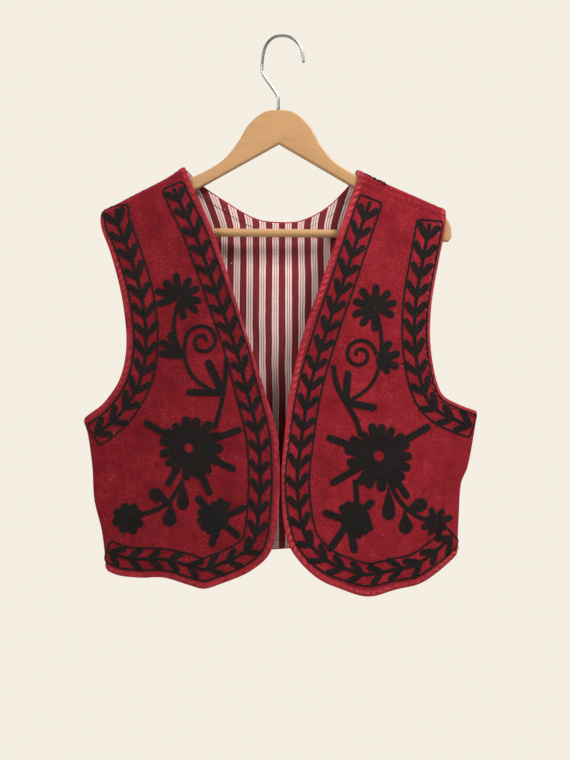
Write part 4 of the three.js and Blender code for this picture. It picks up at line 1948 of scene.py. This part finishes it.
@dataclass(frozen=True)
class CutSize:
    """A panel's flat size in millimetres, its area in square metres, and the reach of its grid."""

    width: float
    length: float
    area: float
    across: float
    up: float


@dataclass
class Vest:
    """The garment: velvet outside, striped cotton inside, both sewn and embroidered."""

    velvet_thickness: float = 1.4
    lining_thickness: float = 1.0
    gap: float = 0.3
    cell: float = 3.0
    row_cell: float = 2.3
    lining_cell: float = 5.0
    lining_inset: float = 2.2
    topstitch: float = 8.6
    lining_stitch: float = 12.0
    lining_wrinkle: float = 1.2

    RED_THREAD = ThreadFinish("red_thread", colour=(0.10, 0.006, 0.010), light=(0.22, 0.02, 0.03))
    DARK_THREAD = ThreadFinish("dark_thread", colour=(0.012, 0.008, 0.009), light=(0.04, 0.02, 0.022))
    SIZES = {
        "front_right": CutSize(width=252.0, length=545.0, area=0.0928, across=250.0, up=500.0),
        "front_left": CutSize(width=254.0, length=535.0, area=0.0920, across=250.0, up=500.0),
        "back": CutSize(width=508.0, length=532.0, area=0.2023, across=508.0, up=500.0),
    }
    TONES = {
        # Painted shade: the wearer's right front takes a darker copy of the velvet, as if it were less lit
        # than the left front.
        "front_right": VelvetFinish(
            "velvet_right_front_shaded", deep=(0.098, 0.0038, 0.008), bright=(0.265, 0.0115, 0.0225),
        ),
        "front_left": VelvetFinish("velvet_left_front_tone"),
        "back": VelvetFinish("velvet_back", deep=(0.15, 0.0048, 0.0098), bright=(0.33, 0.0135, 0.026)),
    }

    def panels(self) -> list[Panel]:
        """Cuts the three panels.

        Returns:
            The right front, the left front and the back.
        """
        cutter = Cutter()
        return [
            cutter.front("front_right", RIGHT),
            cutter.front("front_left", LEFT),
            cutter.back("back"),
        ]

    def velvet(self, panel: Panel) -> VelvetPly:
        """Lays out the velvet of a panel.

        Args:
            panel: The panel.

        Returns:
            Its velvet, ready to build.
        """
        size = self.SIZES[panel.name]
        return VelvetPly(
            panel, f"velvet_{panel.name}", int(size.across / self.cell), int(size.up / self.row_cell),
            outer=0.0, inner=self.velvet_thickness,
            flat_width=size.width, flat_length=size.length, flat_area=size.area, slot="velvet",
        )

    def lining(self, panel: Panel) -> LiningPly:
        """Lays out the lining of a panel.

        Args:
            panel: The panel.

        Returns:
            Its lining, ready to build.
        """
        size = self.SIZES[panel.name]
        outer = self.velvet_thickness + self.gap
        return LiningPly(
            panel, f"striped_{panel.name}",
            int(size.across / self.lining_cell), int(size.up / self.lining_cell),
            outer=outer, inner=outer + self.lining_thickness, inset=self.lining_inset,
            flat_width=size.width, flat_length=size.length, flat_area=size.area, slot="lining",
        )

    def seams(self, panel: Panel) -> list[Piece]:
        """Sews the topstitching of a panel's turned edges, outside and on the lining.

        Args:
            panel: The panel.

        Returns:
            The stitches outside and the stitches on the lining.
        """
        outside = Needle(panel, RUNNING, seed=31)
        depth = self.velvet_thickness + self.gap + self.lining_thickness + self.lining_wrinkle
        inside = Needle(panel, LINING_RUNNING, seed=37, depth=depth)
        for line in panel.hems:
            outside.row(line.beside(self.topstitch, panel.centre, 6.0).points)
            inside.row(line.beside(self.lining_stitch, panel.centre, 6.0).points)
        red = outside.build(f"topstitch_{panel.name}", "velvet")
        dark = inside.build(f"lining_stitch_{panel.name}", "lining")
        return [red, dark]

    def build(self) -> None:
        """Makes and dresses every cloth piece and its needlework."""
        work = Embroidery()
        black = work.finish()
        red = self.RED_THREAD.material()
        dark = self.DARK_THREAD.material()
        stripes = LiningFinish().material()
        right, left, back = self.panels()
        sewn = {
            "front_right": work.front(right, work.right),
            "front_left": work.front(left, work.left),
            "back": work.back(back),
        }
        for panel in (right, left, back):
            for piece in sewn[panel.name]:
                piece.data.materials.append(black)
                report(piece)
            topstitch, lining_stitch = self.seams(panel)
            for piece, thread in ((topstitch, red), (lining_stitch, dark)):
                piece.data.materials.append(thread)
                report(piece)
            self.hang(self.lining(panel), f"lining_{panel.name}", stripes, [lining_stitch])
            velvet = self.TONES[panel.name].material()
            self.hang(self.velvet(panel), panel.name, velvet, [*sewn[panel.name], topstitch])

    def hang(self, ply: Ply, node: str, material: Material,
             with_pieces: list[Piece]) -> None:
        """Builds one ply in place of its CAD node.

        Args:
            ply: The layer of cloth.
            node: The CAD node that it stands for.
            material: Its finish.
            with_pieces: What is sewn to it; not used.
        """
        piece = ply.build()
        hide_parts(node)
        ply.dress(piece, material)
        report(piece)


# ---------------------------------------------------------------- the hanger


@dataclass
class Hanger:
    """The plain wooden hanger with its trouser bar and wire hook."""

    tilt: float = 0.6
    middle: float = -2.5
    thick: float = 11.5
    rounding: float = 2.5
    bar_diameter: float = 10.5
    bar_height: float = -251.0
    bar_reach: float = 199.7
    wire: float = 3.8
    top: Rows = (
        (0, -94), (17, -96), (37, -111), (54, -138.5), (72, -159.5), (108, -180.5), (139, -193.5),
        (179, -210.5), (211, -226), (220, -239), (222, -254),
    )
    under: Rows = ((218, -260), (200, -260), (200, -240.5), (150, -218.5), (100, -194), (0, -137))
    hook: Rows = (
        (-3.7, -93.6), (-3.9, -79), (-5.4, -74.5), (-23.6, -47.5), (-25.1, -42), (-22.8, -17.5),
        (-18.4, -7.5), (-10.5, -0.2), (0, 1.9), (9, 0.8), (16.5, -3.6), (22.6, -10), (26, -18), (28, -33),
    )

    def tilted(self, points: Array) -> Array:
        """Turns points out of level about the hook's crown.

        Args:
            points: Points in space.

        Returns:
            The turned points.
        """
        angle = math.radians(self.tilt)
        x, y, z = points[..., 0], points[..., 1], points[..., 2]
        return np.stack([
            x * math.cos(angle) + z * math.sin(angle), y, z * math.cos(angle) - x * math.sin(angle),
        ], -1)

    def outline(self) -> Array:
        """Gives the board's outline, round from its middle, with closely spaced points.

        Returns:
            The points in order.
        """
        curve = Line.through(self.top).at(np.linspace(0, 1, 70))
        straight = Line(np.array(self.under)).at(np.linspace(0, 1, 60))
        corners = np.array(self.under)
        half = np.vstack([curve, corners[:3], straight[straight[:, 0] < 199.0]])
        mirrored = half[::-1][1:-1] * [-1, 1]
        return np.vstack([half, mirrored])

    def inset(self, outline: Array, distance: float) -> Array:
        """Draws an outline in by a distance, square to its edges.

        Args:
            outline: The points in order.
            distance: How far it is drawn in.

        Returns:
            As many points, drawn in.
        """
        ahead = np.roll(outline, -1, 0) - outline
        ahead /= np.linalg.norm(ahead, axis=1, keepdims=True) + TINY
        behind = np.roll(ahead, 1, 0)
        turned = ahead + behind
        turned /= np.linalg.norm(turned, axis=1, keepdims=True) + TINY
        square = np.stack([turned[:, 1], -turned[:, 0]], -1)
        slack = np.clip(np.einsum("ij,ij->i", turned, ahead), 0.5, 1.0)
        return outline + square * (distance / slack)[:, None]

    def build(self) -> None:
        """Makes and dresses the wood, the bar and the hook."""
        wood = WoodFinish().material()
        pieces = [
            (self.board(), wood, "hanger_body"),
            (self.bar(), wood, "hanger_bar"),
            (self.wire_hook(), SteelFinish().material(), "hanger_hook"),
        ]
        for piece, material, node in pieces:
            piece.data.materials.append(material)
            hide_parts(node)
            report(piece)

    def board(self) -> Piece:
        """Makes the arms as one board whose edges are rounded all along.

        Returns:
            The piece.
        """
        outline = self.outline()
        steps = np.linspace(0, math.pi / 2, 6)
        rings = []
        for sign, turns in ((-1, steps[::-1]), (1, steps)):
            for turn in turns:
                drawn = self.inset(outline, self.rounding * (1 - math.cos(turn)))
                depth = sign * (self.thick / 2 - self.rounding * (1 - math.sin(turn)))
                level = np.full(len(drawn), depth)
                rings.append(np.stack([drawn[:, 0] + self.middle, level, drawn[:, 1]], -1))
        return self.tube("hanger_wood", self.tilted(np.array(rings)), "hanger_wood")

    def bar(self) -> Piece:
        """Makes the round trouser bar, eased at both ends.

        Returns:
            The piece.
        """
        body = [(share, 1.0) for share in np.linspace(-0.98, 0.98, 30)]
        places = [(-1.0, 0.86), (-0.994, 1.0), *body, (0.994, 1.0), (1.0, 0.86)]
        turn = np.linspace(0, 2 * math.pi, 36, endpoint=False)
        rings = []
        for share, size in places:
            radius = size * self.bar_diameter / 2
            along = np.full(len(turn), share * self.bar_reach + self.middle)
            height = self.bar_height + radius * np.sin(turn)
            rings.append(np.stack([along, radius * np.cos(turn), height], -1))
        return self.tube("trouser_bar", self.tilted(np.array(rings)), "hanger_wood")

    def wire_hook(self) -> Piece:
        """Makes the bent wire, with a rounded free end.

        Returns:
            The piece.
        """
        line = Line.through(self.hook)
        share = np.linspace(0, 1, 150)
        centre, across = line.at(share), line.across(share)
        turn = np.linspace(0, 2 * math.pi, 20, endpoint=False)
        from_end = (1 - share) * line.length / (self.wire / 2)
        size = np.sqrt(np.clip(1 - (1 - np.clip(from_end, 0, 1)) ** 2, 0.02, 1)) * self.wire / 2
        rings = np.zeros((len(share), len(turn), 3))
        rings[..., 0] = centre[:, None, 0] + size[:, None] * across[:, None, 0] * np.cos(turn)
        rings[..., 1] = size[:, None] * np.sin(turn)
        rings[..., 2] = centre[:, None, 1] + size[:, None] * across[:, None, 1] * np.cos(turn)
        return self.tube("hook_wire", self.tilted(rings), "hook_steel")

    def tube(self, name: str, rings: Array, slot: str) -> Piece:
        """Joins closed rings into one body, with a flat cap at each end.

        Args:
            name: The piece's name.
            rings: The rings' points, in order.
            slot: The record's material slot.

        Returns:
            The piece.
        """
        count, sides = rings.shape[:2]
        grid = np.arange(count * sides).reshape(count, sides)
        after = np.roll(grid, -1, 1)
        quads = np.stack([grid[:-1], after[:-1], after[1:], grid[1:]], -1).reshape(-1, 4)
        points = rings.reshape(-1, 3)
        turned = MeshWork.facing_out(points, quads)
        caps = [grid[0][::-1].tolist(), grid[-1].tolist()]
        if turned is not quads:
            caps = [cap[::-1] for cap in caps]
        return MeshWork.make(name, points, [*turned.tolist(), *caps], slot)


# ---------------------------------------------------------------- studio


@dataclass
class Studio:
    """Pale floor, soft light and the camera."""

    floor_z: float = -2.4
    floor_half: float = 3.2
    camera_at: tuple[float, float, float] = (0.0038, -1.312, -0.4392)
    lens: float = 48.5
    paper: Colour = (0.905, 0.855, 0.765)
    ambient: float = 0.36

    def build(self) -> None:
        """Sets up the floor, the lights, the world and the camera."""
        self.floor()
        self.light("key", (1.15, -0.95, 1.2), 0.6, 58.0)
        self.light("fill", (-1.3, -1.5, 0.2), 0.9, 17.0)
        self.light("rear", (0.2, 2.2, 0.9), 1.8, 36.0)
        self.light("floor_wash", (0.0, 0.0, -1.15), 5.5, 44.0, downwards=True)
        self.world()
        self.camera()

    def floor(self) -> None:
        """Lays the pale floor, well below the hanging vest."""
        half = self.floor_half
        mesh = bpy.data.meshes.new("floor")
        corners = [(-half, -half, 0), (half, -half, 0), (half, half, 0), (-half, half, 0)]
        mesh.from_pydata([(x, y, self.floor_z) for x, y, _ in corners], [], [(0, 1, 2, 3)])
        floor = bpy.data.objects.new("floor", mesh)
        bpy.context.scene.collection.objects.link(floor)
        floor.data.materials.append(FloorFinish().material())

    def light(self, name: str, place: tuple[float, float, float], size: float, power: float,
              downwards: bool = False) -> None:
        """Hangs a soft square light.

        Args:
            name: What it is for.
            place: Where it hangs, in metres.
            size: The length of its side, in metres.
            power: Its power, in watts.
            downwards: Whether it lights the floor instead of looking at the middle of the vest.
        """
        lamp = bpy.data.lights.new(name, "AREA")
        lamp.energy = power
        lamp.size = size
        lamp.color = (1.0, 0.965, 0.91)
        holder = bpy.data.objects.new(name, lamp)
        bpy.context.scene.collection.objects.link(holder)
        low, high = CAD_BOX
        holder.location = place
        holder.visible_camera = False
        if not downwards:
            aim = (low + high) / 2 - holder.location
            holder.rotation_euler = aim.to_track_quat("-Z", "Y").to_euler()

    def world(self) -> None:
        """Surrounds the vest with pale paper, dimmer as light than as background."""
        world = bpy.data.worlds.new("studio")
        world.use_nodes = True
        tree = world.node_tree
        tree.nodes.clear()
        output = tree.nodes.new("ShaderNodeOutputWorld")
        shown, lit = (tree.nodes.new("ShaderNodeBackground") for _ in range(2))
        ray = tree.nodes.new("ShaderNodeLightPath")
        mix = tree.nodes.new("ShaderNodeMixShader")
        for node, strength in ((shown, 1.0), (lit, self.ambient)):
            node.inputs["Color"].default_value = (*self.paper, 1.0)
            node.inputs["Strength"].default_value = strength
        tree.links.new(ray.outputs["Is Camera Ray"], mix.inputs[0])
        tree.links.new(lit.outputs[0], mix.inputs[1])
        tree.links.new(shown.outputs[0], mix.inputs[2])
        tree.links.new(mix.outputs[0], output.inputs[0])
        bpy.context.scene.world = world
        bpy.context.scene.view_settings.view_transform = "Standard"

    def camera(self) -> None:
        """Sets the camera level with the vest, square to it."""
        data = bpy.data.cameras.new("camera")
        data.lens = self.lens
        data.sensor_width = 36.0
        camera = bpy.data.objects.new("camera", data)
        bpy.context.scene.collection.objects.link(camera)
        camera.location = self.camera_at
        camera.rotation_euler = (math.pi / 2, 0.0, 0.0)
        bpy.context.scene.camera = camera


def report(piece: Piece) -> None:
    """Logs a piece's name and how many triangles it has."""
    triangles = sum(len(face.vertices) - 2 for face in piece.data.polygons)
    log.info("%s: %d triangles", piece.name, triangles)


def main() -> None:
    """Builds the studio, the hanger and the vest."""
    logging.basicConfig(level=logging.INFO, format="%(name)s: %(message)s")
    Studio().build()
    Hanger().build()
    Vest().build()


if __name__ == "__main__":
    main()
